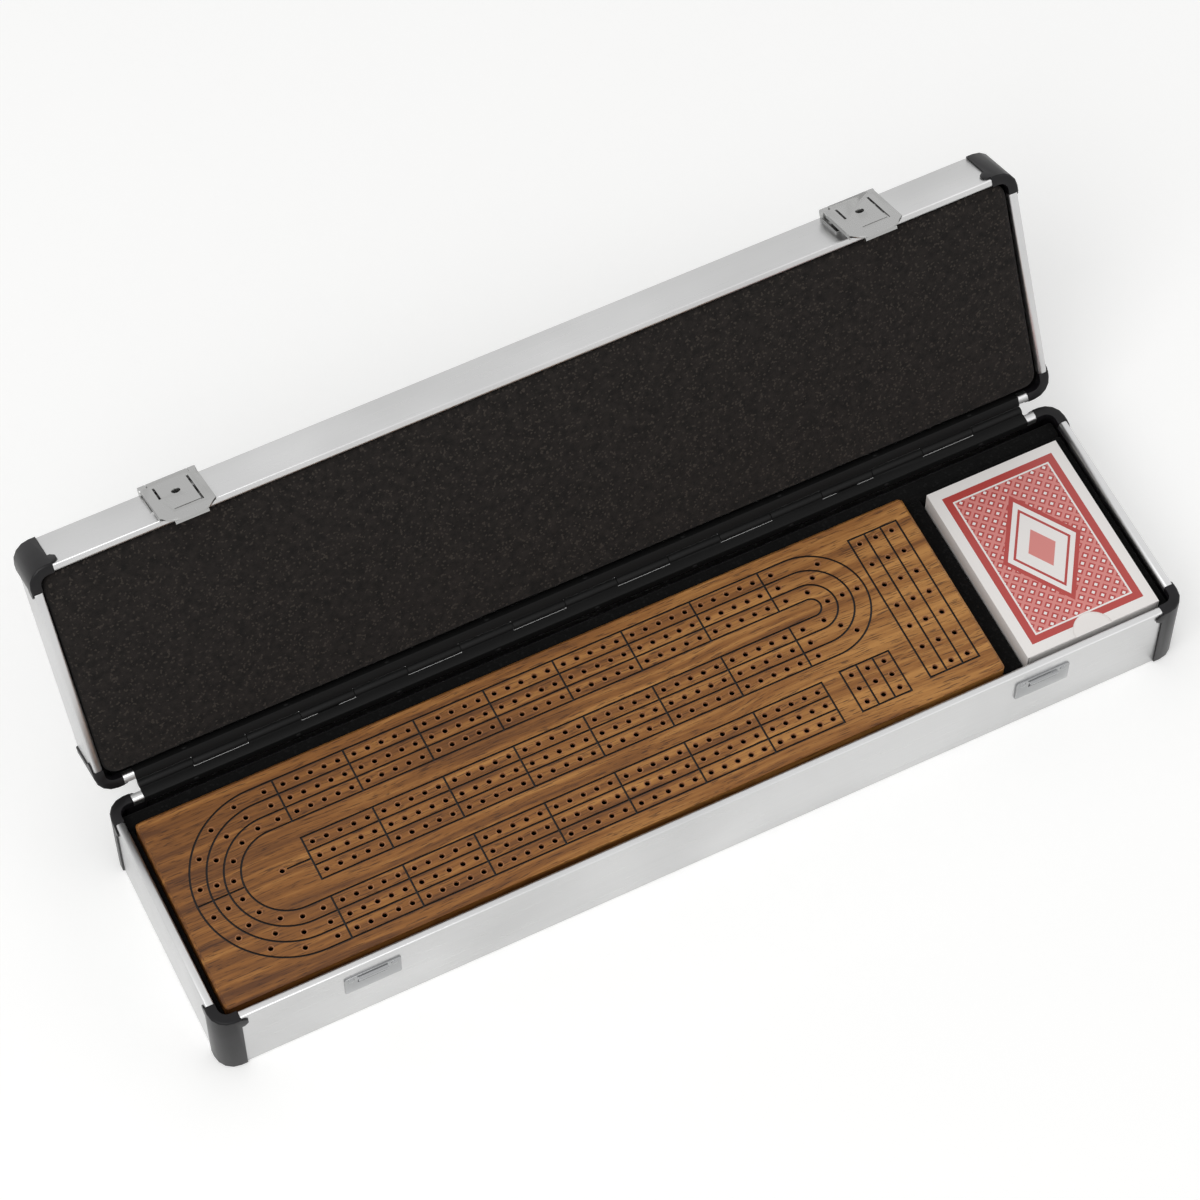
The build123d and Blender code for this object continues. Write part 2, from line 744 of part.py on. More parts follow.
def card_deck():
    """The deck inside the carton, under the tucked tab."""
    inset = carton_wall + card_gap
    deck = block(carton_x0 + inset, carton_x1 - inset, carton_y0 + inset, carton_y1 - inset,
                 carton_z0 + carton_wall, carton_z1 - 2 * carton_wall - card_gap)
    return fillet(deck.edges().filter_by(Axis.Z), card_corner_round)


def build_nodes():
    """Every named piece in its rest place."""
    nodes = {}
    for name, piece in shell_rails(base_height).items():
        nodes["base_" + name + "_rail"] = piece
    for name, piece in shell_corners(base_height).items():
        nodes["base_" + name + "_corner"] = piece
    nodes["base_bottom_panel"] = shell_panel()
    nodes.update(lining_pieces())
    nodes["base_hinge_leaf"] = hinge_leaf(0)
    half = hinge_length / 2
    nodes["hinge_pin"] = pin(-half, half, hinge_y, hinge_z, hinge_pin_radius)
    leaf_rivets = hinge_rivets()
    nodes["base_hinge_rivets"] = leaf_rivets

    for name, piece in shell_rails(lid_height).items():
        nodes["lid_" + name + "_rail"] = open_lid(as_lid(piece))
    for name, piece in shell_corners(lid_height).items():
        nodes["lid_" + name + "_corner"] = open_lid(as_lid(piece))
    nodes["lid_top_panel"] = open_lid(as_lid(shell_panel()))
    nodes["lid_pad"] = open_lid(lid_pad())
    hinge_level = Plane((0, 0, hinge_z), z_dir=(0, 0, 1))
    lid_leaf = open_lid(mirror(hinge_leaf(1), hinge_level))
    for tab in stop_tabs():
        lid_leaf += tab
    nodes["lid_hinge_leaf"] = lid_leaf
    nodes["lid_hinge_rivets"] = [open_lid(mirror(head, hinge_level)) for head in leaf_rivets]

    keeper_rivet_z = keeper_ledge_z + keeper_ledge_thick / 2
    keeper_rivet_x = (keeper_width + keeper_ledge_width) / 4
    latch_rivet_z = pivot_z + latch_barrel_radius - latch_plate_length + 2 * rivet_radius
    latch_rivet_x = latch_width / 4
    keeper_heads = []
    latch_heads = []
    for name, x in (("left", latch_inset - half_length), ("right", half_length - latch_inset)):
        place = Pos(x, 0, 0)
        nodes["keeper_" + name] = place * keeper()
        nodes["latch_plate_" + name] = open_lid(place * latch_plate())
        nodes["latch_lever_" + name] = open_lid(place * latch_lever())
        pin_half = latch_width / 2 + latch_plate_thick / 2
        nodes["latch_pin_" + name] = open_lid(place * pin(-pin_half, pin_half, pivot_y, pivot_z, latch_pin_radius))
        for side in (-1, 1):
            keeper_heads.append(stud(x + side * keeper_rivet_x, keeper_face_y, keeper_rivet_z, rivet_radius,
                                     rivet_height, rivet_radius * 0.7))
            latch_heads.append(stud(x + side * latch_rivet_x, -half_depth - latch_plate_thick, latch_rivet_z,
                                    rivet_radius, rivet_height, rivet_radius * 0.7))
    nodes["keeper_rivets"] = keeper_heads
    nodes["latch_rivets"] = [open_lid(head) for head in latch_heads]

    nodes["board_playing_layer"] = board_top()
    nodes["board_back_layer"] = board_back()
    nodes["peg_cover_guides"] = cover_guides()
    nodes["peg_cover"] = peg_cover()
    nodes.update(peg_sets())
    nodes["card_carton"] = carton()
    nodes["card_carton_flap"] = carton_flap()
    nodes["card_deck"] = card_deck()
    return nodes


os.makedirs("parts", exist_ok=True)
for node_name, shape in build_nodes().items():
    if isinstance(shape, list):
        shape = Compound(children=shape)
    export_step(shape, "parts/" + node_name + ".step")
print("latch pivot, shut lid: y", round(pivot_y, 3), "z", round(pivot_z, 3))
print("hinge axis: y", round(hinge_y, 3), "z", round(hinge_z, 3))
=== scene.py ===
import math

import bmesh
import bpy
from mathutils import Matrix, Vector, noise
from mathutils.geometry import delaunay_2d_cdt


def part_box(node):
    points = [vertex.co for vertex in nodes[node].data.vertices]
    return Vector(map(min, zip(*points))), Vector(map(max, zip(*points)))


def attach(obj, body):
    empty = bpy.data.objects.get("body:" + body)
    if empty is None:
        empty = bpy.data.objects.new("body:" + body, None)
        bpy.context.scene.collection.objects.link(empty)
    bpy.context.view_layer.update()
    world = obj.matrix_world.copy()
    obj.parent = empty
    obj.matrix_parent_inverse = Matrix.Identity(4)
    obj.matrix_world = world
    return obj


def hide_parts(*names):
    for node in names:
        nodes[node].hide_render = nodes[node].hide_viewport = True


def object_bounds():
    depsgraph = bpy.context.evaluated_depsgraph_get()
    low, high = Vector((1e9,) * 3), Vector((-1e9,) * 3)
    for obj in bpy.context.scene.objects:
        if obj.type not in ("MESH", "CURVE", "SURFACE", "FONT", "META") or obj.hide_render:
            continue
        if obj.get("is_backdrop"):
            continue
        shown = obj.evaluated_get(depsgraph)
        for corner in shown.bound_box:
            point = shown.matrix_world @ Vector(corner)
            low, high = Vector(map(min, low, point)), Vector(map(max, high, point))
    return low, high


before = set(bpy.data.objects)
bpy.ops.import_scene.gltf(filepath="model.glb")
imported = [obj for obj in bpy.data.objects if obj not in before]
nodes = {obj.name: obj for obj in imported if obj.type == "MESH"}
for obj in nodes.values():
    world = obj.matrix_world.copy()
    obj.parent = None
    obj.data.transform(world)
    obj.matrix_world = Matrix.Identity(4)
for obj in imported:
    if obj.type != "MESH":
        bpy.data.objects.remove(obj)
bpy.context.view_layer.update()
mm = 0.001
print("frame loaded:", len(nodes), "nodes")


# helpers

merging = {"corner": 0.002, "flatAngle": 1.0}  # corners this near are one, faces that turn less are one


def hexColor(code):
    # an sRGB hex value as a linear colour
    parts = [int(code[i:i + 2], 16) / 255 for i in (1, 3, 5)]
    linear = [c / 12.92 if c <= 0.04045 else ((c + 0.055) / 1.055) ** 2.4 for c in parts]
    return (*linear, 1.0)


def addNode(owner, kind, inputs=None, stops=None, **settings):
    # one node with its settings, in a material, the world or a tree
    # an input is a value or another node's output
    tree = getattr(owner, "node_tree", owner)
    node = tree.nodes.new(kind if "Node" in kind else "ShaderNode" + kind)
    for key, value in settings.items():
        setattr(node, key, value)
    if stops:
        ramp = node.color_ramp
        while len(ramp.elements) < len(stops):
            ramp.elements.new(0.5)
        for element, (spot, color) in zip(ramp.elements, stops):
            element.position = spot
            element.color = hexColor(color)
    for key, value in (inputs or {}).items():
        if isinstance(value, bpy.types.NodeSocket):
            tree.links.new(value, node.inputs[key])
        else:
            node.inputs[key].default_value = value
    return node


def newMaterial(name, **sockets):
    # a Principled surface with its constants, and the piece's own coordinates
    material = bpy.data.materials.new(name)
    material.use_nodes = True
    material.node_tree.nodes.clear()
    shader = addNode(material, "BsdfPrincipled", {key.replace("_", " "): value for key, value in sockets.items()})
    addNode(material, "OutputMaterial", {"Surface": shader.outputs[0]})
    coords = addNode(material, "TexCoord").outputs["Object"]
    return material, shader, coords


def plug(material, shader, relief=None, **outputs):
    # links patterns to the surface's sockets and gives the material back
    # relief is a height, its strength, its depth in millimetres and, where it is cut in, True
    if relief:
        height, strength, depth, *cutIn = relief
        outputs["Normal"] = addNode(material, "Bump", {"Height": height, "Strength": strength,
                                                       "Distance": depth * mm}, invert=bool(cutIn)).outputs[0]
    for key, output in outputs.items():
        material.node_tree.links.new(output, shader.inputs[key.replace("_", " ")])
    return material


def finishMesh(obj, smoothAngle):
    # plain mesh from the modifiers, smooth except at edges sharper than the angle
    graph = bpy.context.evaluated_depsgraph_get()
    baked = bpy.data.meshes.new_from_object(obj.evaluated_get(graph))
    obj.modifiers.clear()
    obj.data = baked
    for face in baked.polygons:
        face.use_smooth = True
    baked.set_sharp_from_angle(angle=math.radians(smoothAngle))


def place(obj, body, slotName, *replaced):
    # ties a finished piece to its body and hides the nodes it stands for; its slot name is not used
    if replaced:
        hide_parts(*replaced)
    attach(obj, body)


def dressed(nodeName, pieceName, material, body, slotName, bevel, steps=2, edgeAngle=42, smoothAngle=40):
    # a CAD piece with merged faces and softened edges
    mesh = nodes[nodeName].data.copy()
    work = bmesh.new()
    work.from_mesh(mesh)
    bmesh.ops.remove_doubles(work, verts=work.verts, dist=merging["corner"] * mm)
    bmesh.ops.dissolve_limit(work, angle_limit=math.radians(merging["flatAngle"]), verts=work.verts,
                             edges=work.edges)
    work.to_mesh(mesh)
    work.free()
    piece = bpy.data.objects.new(pieceName, mesh)
    bpy.context.scene.collection.objects.link(piece)
    piece.data.materials.clear()
    piece.data.materials.append(material)
    soften = piece.modifiers.new("edges", "BEVEL")
    soften.width = bevel * mm
    soften.segments = steps
    soften.limit_method = "ANGLE"
    soften.angle_limit = math.radians(edgeAngle)
    bpy.context.view_layer.update()
    finishMesh(piece, smoothAngle)
    place(piece, body, slotName, nodeName)


def meshPiece(name, verts, faces, material):
    mesh = bpy.data.meshes.new(name)
    mesh.from_pydata(verts, [], faces)
    mesh.materials.append(material)
    piece = bpy.data.objects.new(name, mesh)
    bpy.context.scene.collection.objects.link(piece)
    return piece


# camera: the photograph's side and height, far back with a long lens

cameraView = {"azimuth": 26.23, "elevation": 59.57, "lens": 132.0, "sensor": 36.0,
              "location": (-424.5, -810.8, 1686.1), "nearClip": 0.05, "farClip": 30.0}
camera = bpy.data.objects.new("camera", bpy.data.cameras.new("camera"))
bpy.context.scene.collection.objects.link(camera)
camera.location = Vector(cameraView["location"]) * mm
camera.rotation_euler = (math.radians(90 - cameraView["elevation"]), 0, -math.radians(cameraView["azimuth"]))
camera.data.lens = cameraView["lens"]
camera.data.sensor_width = cameraView["sensor"]
camera.data.clip_start, camera.data.clip_end = cameraView["nearClip"], cameraView["farClip"]
bpy.context.scene.camera = camera


# studio: white sweep, sky for the glossy parts, one large key and one fill

studio = {"skyLight": 0.58, "whiteSeen": 1.0, "floorColor": "#f4f4f3", "floorLift": 0.22, "floorReach": 8.0,
          "keyPower": 17.0, "keySize": 1.4, "keyPlace": (-1.1, -0.7, 1.9),
          "fillPower": 4.0, "fillSize": 1.6, "fillPlace": (1.6, -0.9, 1.3), "aim": (0, 0, 0.05)}


def seenShare(owner):
    # 1 where a surface is looked at, straight or in a reflection, and 0 where it only gives light
    rays = addNode(owner, "LightPath")
    direct = addNode(owner, "Math", {0: rays.outputs["Is Camera Ray"], 1: rays.outputs["Is Glossy Ray"]},
                     operation="MAXIMUM")
    return addNode(owner, "Math", {0: direct.outputs[0], 1: rays.outputs["Is Transmission Ray"]},
                   operation="MAXIMUM").outputs[0]


world = bpy.data.worlds.new("studio")
bpy.context.scene.world = world
world.use_nodes = True
world.node_tree.nodes.clear()
skyStrength = addNode(world, "MapRange", {"Value": seenShare(world), "To Min": studio["skyLight"],
                                          "To Max": studio["whiteSeen"]})
sky = addNode(world, "Background", {"Color": (1, 1, 1, 1), "Strength": skyStrength.outputs[0]})
addNode(world, "OutputWorld", {"Surface": sky.outputs[0]})

paperSweep = bpy.data.materials.new("matt white paper sweep")
paperSweep.use_nodes = True
paperSweep.node_tree.nodes.clear()
paper = addNode(paperSweep, "BsdfDiffuse", {"Color": hexColor(studio["floorColor"])})
liftAmount = addNode(paperSweep, "Math", {0: seenShare(paperSweep), 1: studio["floorLift"]}, operation="MULTIPLY")
lift = addNode(paperSweep, "Emission", {"Color": (1, 1, 1, 1), "Strength": liftAmount.outputs[0]})
lifted = addNode(paperSweep, "AddShader", {0: paper.outputs[0], 1: lift.outputs[0]})
addNode(paperSweep, "OutputMaterial", {"Surface": lifted.outputs[0]})
far = studio["floorReach"]
floor = meshPiece("floor", [(-far, -far, 0), (far, -far, 0), (far, far, 0), (-far, far, 0)], [(0, 1, 2, 3)],
                  paperSweep)
floor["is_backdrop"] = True

for lightName, prefix in (("key light", "key"), ("fill light", "fill")):
    lamp = bpy.data.objects.new(lightName, bpy.data.lights.new(lightName, "AREA"))
    bpy.context.scene.collection.objects.link(lamp)
    lamp.data.energy = studio[prefix + "Power"]
    lamp.data.size = studio[prefix + "Size"]
    lamp.location = studio[prefix + "Place"]
    aim = Vector(studio["aim"]) - lamp.location
    lamp.rotation_euler = aim.to_track_quat("-Z", "Y").to_euler()
bpy.context.scene.view_settings.view_transform = "Standard"
print("camera and studio ready")


# materials: widths, lengths and depths in millimetres, the rest as a share or per metre

noiseRange = (0.3, 0.7)  # where most values of a noise texture lie


def drawnNoise(material, vector, perMetre, detail, roughness=0.5):
    # noise drawn out along an axis, for lines, streaks and pores
    drawn = addNode(material, "Mapping", {"Vector": vector, "Scale": perMetre})
    return addNode(material, "TexNoise", {"Vector": drawn.outputs[0], "Scale": 1.0, "Detail": detail,
                                          "Roughness": roughness}).outputs[0]


def roughBy(material, pattern, lowest, highest):
    # roughness that follows a noise pattern
    return addNode(material, "MapRange", {"Value": pattern, "From Min": noiseRange[0], "From Max": noiseRange[1],
                                          "To Min": lowest, "To Max": highest}).outputs[0]


def anodisedAluminium(name, along):
    # extruded rail, etched and clear anodised: pale satin with faint lines along the extrusion
    look = {"tones": [(0.3, "#c6c6c6"), (0.62, "#d3d3d3")], "cloudsPerMetre": 14.0, "roughness": (0.27, 0.40),
            "lineWidth": 0.35, "lineLength": 45.0, "relief": 0.12, "depth": 0.05}
    material, shader, coords = newMaterial(name, Metallic=1.0)
    fine, long = 1000 / look["lineWidth"], 1000 / look["lineLength"]
    lines = drawnNoise(material, coords, [long if axis == along else fine for axis in "XYZ"], 3.0)
    cloud = addNode(material, "TexNoise", {"Vector": coords, "Scale": look["cloudsPerMetre"], "Detail": 2.0})
    tone = addNode(material, "ValToRGB", {"Fac": cloud.outputs[0]}, stops=look["tones"])
    return plug(material, shader, Base_Color=tone.outputs[0], relief=(lines, look["relief"], look["depth"]),
                Roughness=roughBy(material, lines, *look["roughness"]))


def embossedSheet():
    # thin silver sheet rolled with an orange-peel emboss, on the top and the underside
    look = {"color": "#c4c4c4", "grain": 1.4, "relief": 0.35, "depth": 0.2}
    material, shader, coords = newMaterial("embossed aluminium sheet", Metallic=0.9, Roughness=0.42,
                                           Base_Color=hexColor(look["color"]))
    peel = addNode(material, "TexVoronoi", {"Vector": coords, "Scale": 1000 / look["grain"], "Randomness": 1.0},
                   feature="SMOOTH_F1")
    return plug(material, shader, relief=(peel.outputs["Distance"], look["relief"], look["depth"]))


def mouldedAbs():
    # black injection moulded ABS with a fine spark-eroded texture and a soft sheen
    look = {"tones": [(0.45, "#100f11"), (0.8, "#1d1b1e")], "wearPerMetre": 90.0, "grain": 0.45,
            "relief": 0.18, "depth": 0.1}
    material, shader, coords = newMaterial("moulded black ABS", Roughness=0.34, Specular_IOR_Level=0.26)
    grain = addNode(material, "TexNoise", {"Vector": coords, "Scale": 1000 / look["grain"], "Detail": 2.0})
    wear = addNode(material, "TexNoise", {"Vector": coords, "Scale": look["wearPerMetre"], "Detail": 4.0})
    tone = addNode(material, "ValToRGB", {"Fac": wear.outputs[0]}, stops=look["tones"])
    return plug(material, shader, Base_Color=tone.outputs[0],
                relief=(grain.outputs[0], look["relief"], look["depth"]))


def blackenedSteel(name, color, roughness):
    # chemically blackened steel: near black, with faint lines along its length
    look = {"linesPerMetre": (60, 1800, 1800), "relief": 0.12, "depth": 0.06}
    material, shader, coords = newMaterial(name, Roughness=roughness, Specular_IOR_Level=0.22,
                                           Base_Color=hexColor(color))
    lines = drawnNoise(material, coords, look["linesPerMetre"], 2.0)
    return plug(material, shader, relief=(lines, look["relief"], look["depth"]))


def satinMetal(name, color, roughness, linesPerMetre, strength=0.1):
    # plated or solid metal with the fine lines of its finishing, which break up what it mirrors
    look = {"roughShares": (0.8, 1.25), "depth": 0.05}
    material, shader, coords = newMaterial(name, Metallic=1.0, Base_Color=hexColor(color))
    lines = drawnNoise(material, coords, linesPerMetre, 3.0)
    return plug(material, shader, relief=(lines, strength, look["depth"]),
                Roughness=roughBy(material, lines, *[roughness * share for share in look["roughShares"]]))


def foamSkin(name, color, light, glintTone, cell):
    # cut foam: open cells that swallow light, with a few cells painted lighter as a painted highlight for the cell
    # walls that catch it
    look = {"stops": (0.36, 0.66), "mottlePerMetre": 260.0, "glintFrom": 0.9, "relief": 0.5, "depth": 0.3}
    material, shader, coords = newMaterial(name, Roughness=0.95, Specular_IOR_Level=0.12, Sheen_Weight=0.04,
                                           Sheen_Roughness=0.6)
    cells = addNode(material, "TexVoronoi", {"Vector": coords, "Scale": 1000 / cell, "Randomness": 1.0})
    mottle = addNode(material, "TexNoise", {"Vector": coords, "Scale": look["mottlePerMetre"], "Detail": 5.0,
                                            "Roughness": 0.7})
    ground = addNode(material, "ValToRGB", {"Fac": mottle.outputs[0]},
                     stops=list(zip(look["stops"], (color, light))))
    # painted highlight: the few cells picked here take the lighter glint tone
    pick = addNode(material, "SeparateColor", {"Color": cells.outputs["Color"]})
    glinting = addNode(material, "Math", {0: pick.outputs[0], 1: look["glintFrom"]}, operation="GREATER_THAN")
    mixed = addNode(material, "Mix", {0: glinting.outputs[0], 6: ground.outputs[0], 7: hexColor(glintTone)},
                    data_type="RGBA")
    return plug(material, shader, Base_Color=mixed.outputs[2],
                relief=(cells.outputs["Distance"], look["relief"], look["depth"]))


def fromMiddle(material, coords, middle):
    # the place seen from a piece's middle, and how far out it lies along each axis
    inner = addNode(material, "VectorMath", {0: coords, 1: middle}, operation="SUBTRACT").outputs[0]
    reach = addNode(material, "VectorMath", {0: inner}, operation="ABSOLUTE").outputs[0]
    return inner, addNode(material, "SeparateXYZ", {"Vector": reach}).outputs


boardLow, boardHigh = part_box("board_playing_layer")
boardMiddle, boardHalf = (boardLow + boardHigh) / 2, (boardHigh - boardLow) / 2


def oiledWalnut(name, topHeight):
    # planed and oiled walnut: brown streaks along the board, dark open pores, and near-black painted shade in
    # everything below the planed top, which is the routed lines and the drilled holes
    look = {"tones": [(0.30, "#5f391b"), (0.5, "#8f5c2a"), (0.70, "#bb8446")], "streakWidth": 4.2,
            "streakLength": 120.0, "bendsPerMetre": 9.0, "bend": 12.0, "driftFrom": (-220.0, 150.0),
            "drift": (-0.08, 0.09), "pore": "#3d2210", "poreWidth": 0.55, "poreLength": 8.0,
            "poreStops": [(0.56, "#000000"), (0.66, "#ffffff")], "poreShare": 0.75, "poreRelief": 0.25,
            "poreDepth": 0.12, "groove": "#0e0502", "grooveStart": 0.04, "grooveFade": 0.1, "plainRim": 2.6,
            "roughness": (0.46, 0.34)}
    material, shader, coords = newMaterial(name, Specular_IOR_Level=0.35)
    bend = addNode(material, "TexNoise", {"Vector": coords, "Scale": look["bendsPerMetre"], "Detail": 2.0})
    sway = look["bend"] * mm
    bent = addNode(material, "VectorMath", {0: bend.outputs["Color"], 1: (0.0, sway, sway)}, operation="MULTIPLY")
    warped = addNode(material, "VectorMath", {0: coords, 1: bent.outputs[0]}, operation="ADD").outputs[0]
    across = 1000 / look["streakWidth"]
    streaks = drawnNoise(material, warped, (1000 / look["streakLength"], across, across), 6.0, 0.62)
    spot = addNode(material, "SeparateXYZ", {"Vector": coords})
    drift = addNode(material, "MapRange", {
        "Value": spot.outputs["X"], "From Min": look["driftFrom"][0] * mm, "From Max": look["driftFrom"][1] * mm,
        "To Min": look["drift"][0], "To Max": look["drift"][1]})
    shifted = addNode(material, "Math", {0: streaks, 1: drift.outputs[0]}, operation="ADD")
    wood = addNode(material, "ValToRGB", {"Fac": shifted.outputs[0]}, stops=look["tones"])
    across = 1000 / look["poreWidth"]
    pores = drawnNoise(material, warped, (1000 / look["poreLength"], across, across), 2.0)
    poreMask = addNode(material, "ValToRGB", {"Fac": pores}, stops=look["poreStops"])
    poreShare = addNode(material, "Math", {0: poreMask.outputs[0], 1: look["poreShare"]}, operation="MULTIPLY")
    grained = addNode(material, "Mix", {0: poreShare.outputs[0], 6: wood.outputs[0], 7: hexColor(look["pore"])},
                      data_type="RGBA")
    # painted shade: the routed lines and the bores of the holes are painted near black, for the shade inside them
    low = addNode(material, "MapRange", {  # 1 in all that lies below the planed top
        "Value": spot.outputs["Z"], "From Min": topHeight - (look["grooveStart"] + look["grooveFade"]) * mm,
        "From Max": topHeight - look["grooveStart"] * mm, "To Min": 1.0, "To Max": 0.0})
    away = fromMiddle(material, coords, boardMiddle)[1]
    insideX = addNode(material, "Math", {0: away["X"], 1: boardHalf.x - look["plainRim"] * mm},
                      operation="LESS_THAN")
    insideY = addNode(material, "Math", {0: away["Y"], 1: boardHalf.y - look["plainRim"] * mm},
                      operation="LESS_THAN")
    # the chamfer and the sides stay plain, without the painted shade
    cutMask = addNode(material, "Math", {0: insideX.outputs[0], 1: insideY.outputs[0]}, operation="MULTIPLY")
    inShadedRecess = addNode(material, "Math", {0: low.outputs[0], 1: cutMask.outputs[0]}, operation="MULTIPLY")
    recessShaded = addNode(material, "Mix", {0: inShadedRecess.outputs[0], 6: grained.outputs[2], 7: hexColor(look["groove"])},
                    data_type="RGBA")
    return plug(material, shader, Base_Color=recessShaded.outputs[2],
                relief=(poreMask.outputs[0], look["poreRelief"], look["poreDepth"], True),
                Roughness=roughBy(material, streaks, *look["roughness"]))


def speckled(name, tones, perMetre, roughness):
    # a dull surface whose colour varies in specks
    material, shader, coords = newMaterial(name, Roughness=roughness)
    speck = addNode(material, "TexNoise", {"Vector": coords, "Scale": perMetre, "Detail": 3.0})
    tone = addNode(material, "ValToRGB", {"Fac": speck.outputs[0]}, stops=tones)
    return plug(material, shader, Base_Color=tone.outputs[0])


def printedCarton():
    # coated carton board with a flat offset print: a red field of small diamonds inside a white border
    look = {"white": "#f3efec", "red": "#b9443f", "pink": "#dd8a84", "lattice": 4.2, "line": 0.16, "border": 5.0,
            "frame": 8.5, "frameWidth": 0.8, "pip": 0.16, "panelHalf": (17.0, 26.0), "halo": 1.14,
            "panelLine": (0.76, 0.84), "core": 0.4, "printDepth": 0.3, "fibresPerMetre": 600.0,
            "relief": 0.08, "depth": 0.1}
    material, shader, coords = newMaterial("printed coated carton board", Roughness=0.36, Coat_Weight=0.15,
                                           Coat_Roughness=0.3)
    low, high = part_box("card_carton")
    middle, half = (low + high) / 2, (high - low) / 2
    inner, reach = fromMiddle(material, coords, middle)
    turned = addNode(material, "SeparateXYZ", {"Vector": addNode(material, "Mapping", {
        "Vector": inner, "Rotation": (0, 0, math.radians(45)), "Scale": (1000 / look["lattice"],) * 3}).outputs[0]})
    got = {"turnedX": turned.outputs["X"], "turnedY": turned.outputs["Y"], "reachX": reach["X"],
           "reachY": reach["Y"], "reachZ": reach["Z"]}
    steps = (("fractX", "FRACT", "turnedX", 0), ("fractY", "FRACT", "turnedY", 0),
             ("cellX", "SUBTRACT", "fractX", 0.5), ("cellY", "SUBTRACT", "fractY", 0.5),
             ("farX", "ABSOLUTE", "cellX", 0), ("farY", "ABSOLUTE", "cellY", 0),
             ("far", "MAXIMUM", "farX", "farY"),
             ("lattice", "GREATER_THAN", "far", 0.5 - look["line"]), ("pip", "LESS_THAN", "far", look["pip"]),
             ("edgeX", "SUBTRACT", half.x, "reachX"), ("edgeY", "SUBTRACT", half.y, "reachY"),
             ("edge", "MINIMUM", "edgeX", "edgeY"), ("field", "GREATER_THAN", "edge", look["border"] * mm),
             ("framed", "GREATER_THAN", "edge", look["frame"] * mm),
             ("lined", "LESS_THAN", "edge", (look["frame"] + look["frameWidth"]) * mm),
             ("frameLine", "MULTIPLY", "framed", "lined"), ("outer", "LESS_THAN", "edge", look["frame"] * mm),
             ("rim", "MULTIPLY", "field", "outer"), ("slopeX", "DIVIDE", "reachX", look["panelHalf"][0] * mm),
             ("slopeY", "DIVIDE", "reachY", look["panelHalf"][1] * mm), ("slope", "ADD", "slopeX", "slopeY"),
             ("halo", "LESS_THAN", "slope", look["halo"]), ("panel", "LESS_THAN", "slope", 1.0),
             ("lineOut", "LESS_THAN", "slope", look["panelLine"][1]),
             ("lineIn", "GREATER_THAN", "slope", look["panelLine"][0]),
             ("panelLine", "MULTIPLY", "lineOut", "lineIn"), ("core", "LESS_THAN", "slope", look["core"]),
             ("top", "GREATER_THAN", "reachZ", half.z - look["printDepth"] * mm),
             ("printedTop", "MULTIPLY", "field", "top"))
    for label, kind, first, second in steps:
        got[label] = addNode(material, "Math", {0: got.get(first, first), 1: got.get(second, second)},
                             operation=kind).outputs[0]
    printed = hexColor(look["red"])
    for share, color in (("lattice", "pink"), ("pip", "white"), ("rim", "red"), ("frameLine", "white"),
                         ("halo", "red"), ("panel", "white"), ("panelLine", "red"), ("core", "pink")):
        printed = addNode(material, "Mix", {0: got[share], 6: printed, 7: hexColor(look[color])},
                          data_type="RGBA").outputs[2]
    printed = addNode(material, "Mix", {0: got["printedTop"], 6: hexColor(look["white"]), 7: printed},
                      data_type="RGBA").outputs[2]
    fibre = addNode(material, "TexNoise", {"Vector": coords, "Scale": look["fibresPerMetre"], "Detail": 3.0})
    return plug(material, shader, Base_Color=printed, relief=(fibre.outputs[0], look["relief"], look["depth"]))


railX = anodisedAluminium("anodised aluminium, drawn along X", "X")
railY = anodisedAluminium("anodised aluminium, drawn along Y", "Y")
silverSheet = embossedSheet()
blackAbs = mouldedAbs()
hingeBlack = blackenedSteel("blackened steel strip", "#070707", 0.6)  # dull, so the hinge recedes
blackPegSteel = blackenedSteel("blackened turned steel", "#141416", 0.34)  # oiled, with a soft highlight
nickelPlate = satinMetal("satin nickel plate", "#adadac", 0.22, (2200, 120, 120), 0.04)  # soft grey
chromePlate = satinMetal("bright chrome plate", "#a3a4a5", 0.08, (200, 200, 200), 0.02)  # near mirror
brassSheet = satinMetal("linished brass", "#c89d55", 0.3, (60, 2500, 2500))  # yellow, lines along the slide
brassTurned = satinMetal("turned brass", "#c89d55", 0.22, (4000, 300, 300))  # yellow, rings round the peg
turnedSteel = satinMetal("turned steel", "#bdbdbb", 0.24, (4000, 300, 300))  # pale, rings round the peg
# the third tone of each foam is the painted highlight on its cell walls
liningFoam = foamSkin("black polyethylene foam", "#050505", "#0a0a0a", "#141414", 0.9)
padFoam = foamSkin("charcoal polyurethane foam", "#181615", "#292523", "#38332f", 0.8)
walnut = oiledWalnut("oiled walnut", boardHigh.z)
# its top lies far above the piece, so all of it inside the plain rim takes the near-black painted shade
walnutBack = oiledWalnut("oiled walnut, underside", 1.0)
# end grain at a drilled hole's mouth, paler where the bit has broken the oiled skin
walnutRim = speckled("bored walnut rim", [(0.35, "#84532f"), (0.65, "#a9744a")], 900.0, 0.6)
cartonBoard = printedCarton()
# playing card stock: white, calendered and coated, a cut edge with faint fibres
cardStock = speckled("coated card stock", [(0.35, "#e6e2d9"), (0.6, "#f3f1ec")], 900.0, 0.45)
print("materials ready")


# the hinge line and the open angle, as in the CAD

hinge = {"y": 60.3, "z": 42.7, "openAngle": 116.0}
hingePoint = Vector((0, hinge["y"], hinge["z"])) * mm
openTurn = (Matrix.Translation(hingePoint) @ Matrix.Rotation(-math.radians(hinge["openAngle"]), 4, "X")
            @ Matrix.Translation(-hingePoint))


# rails, corners and panels

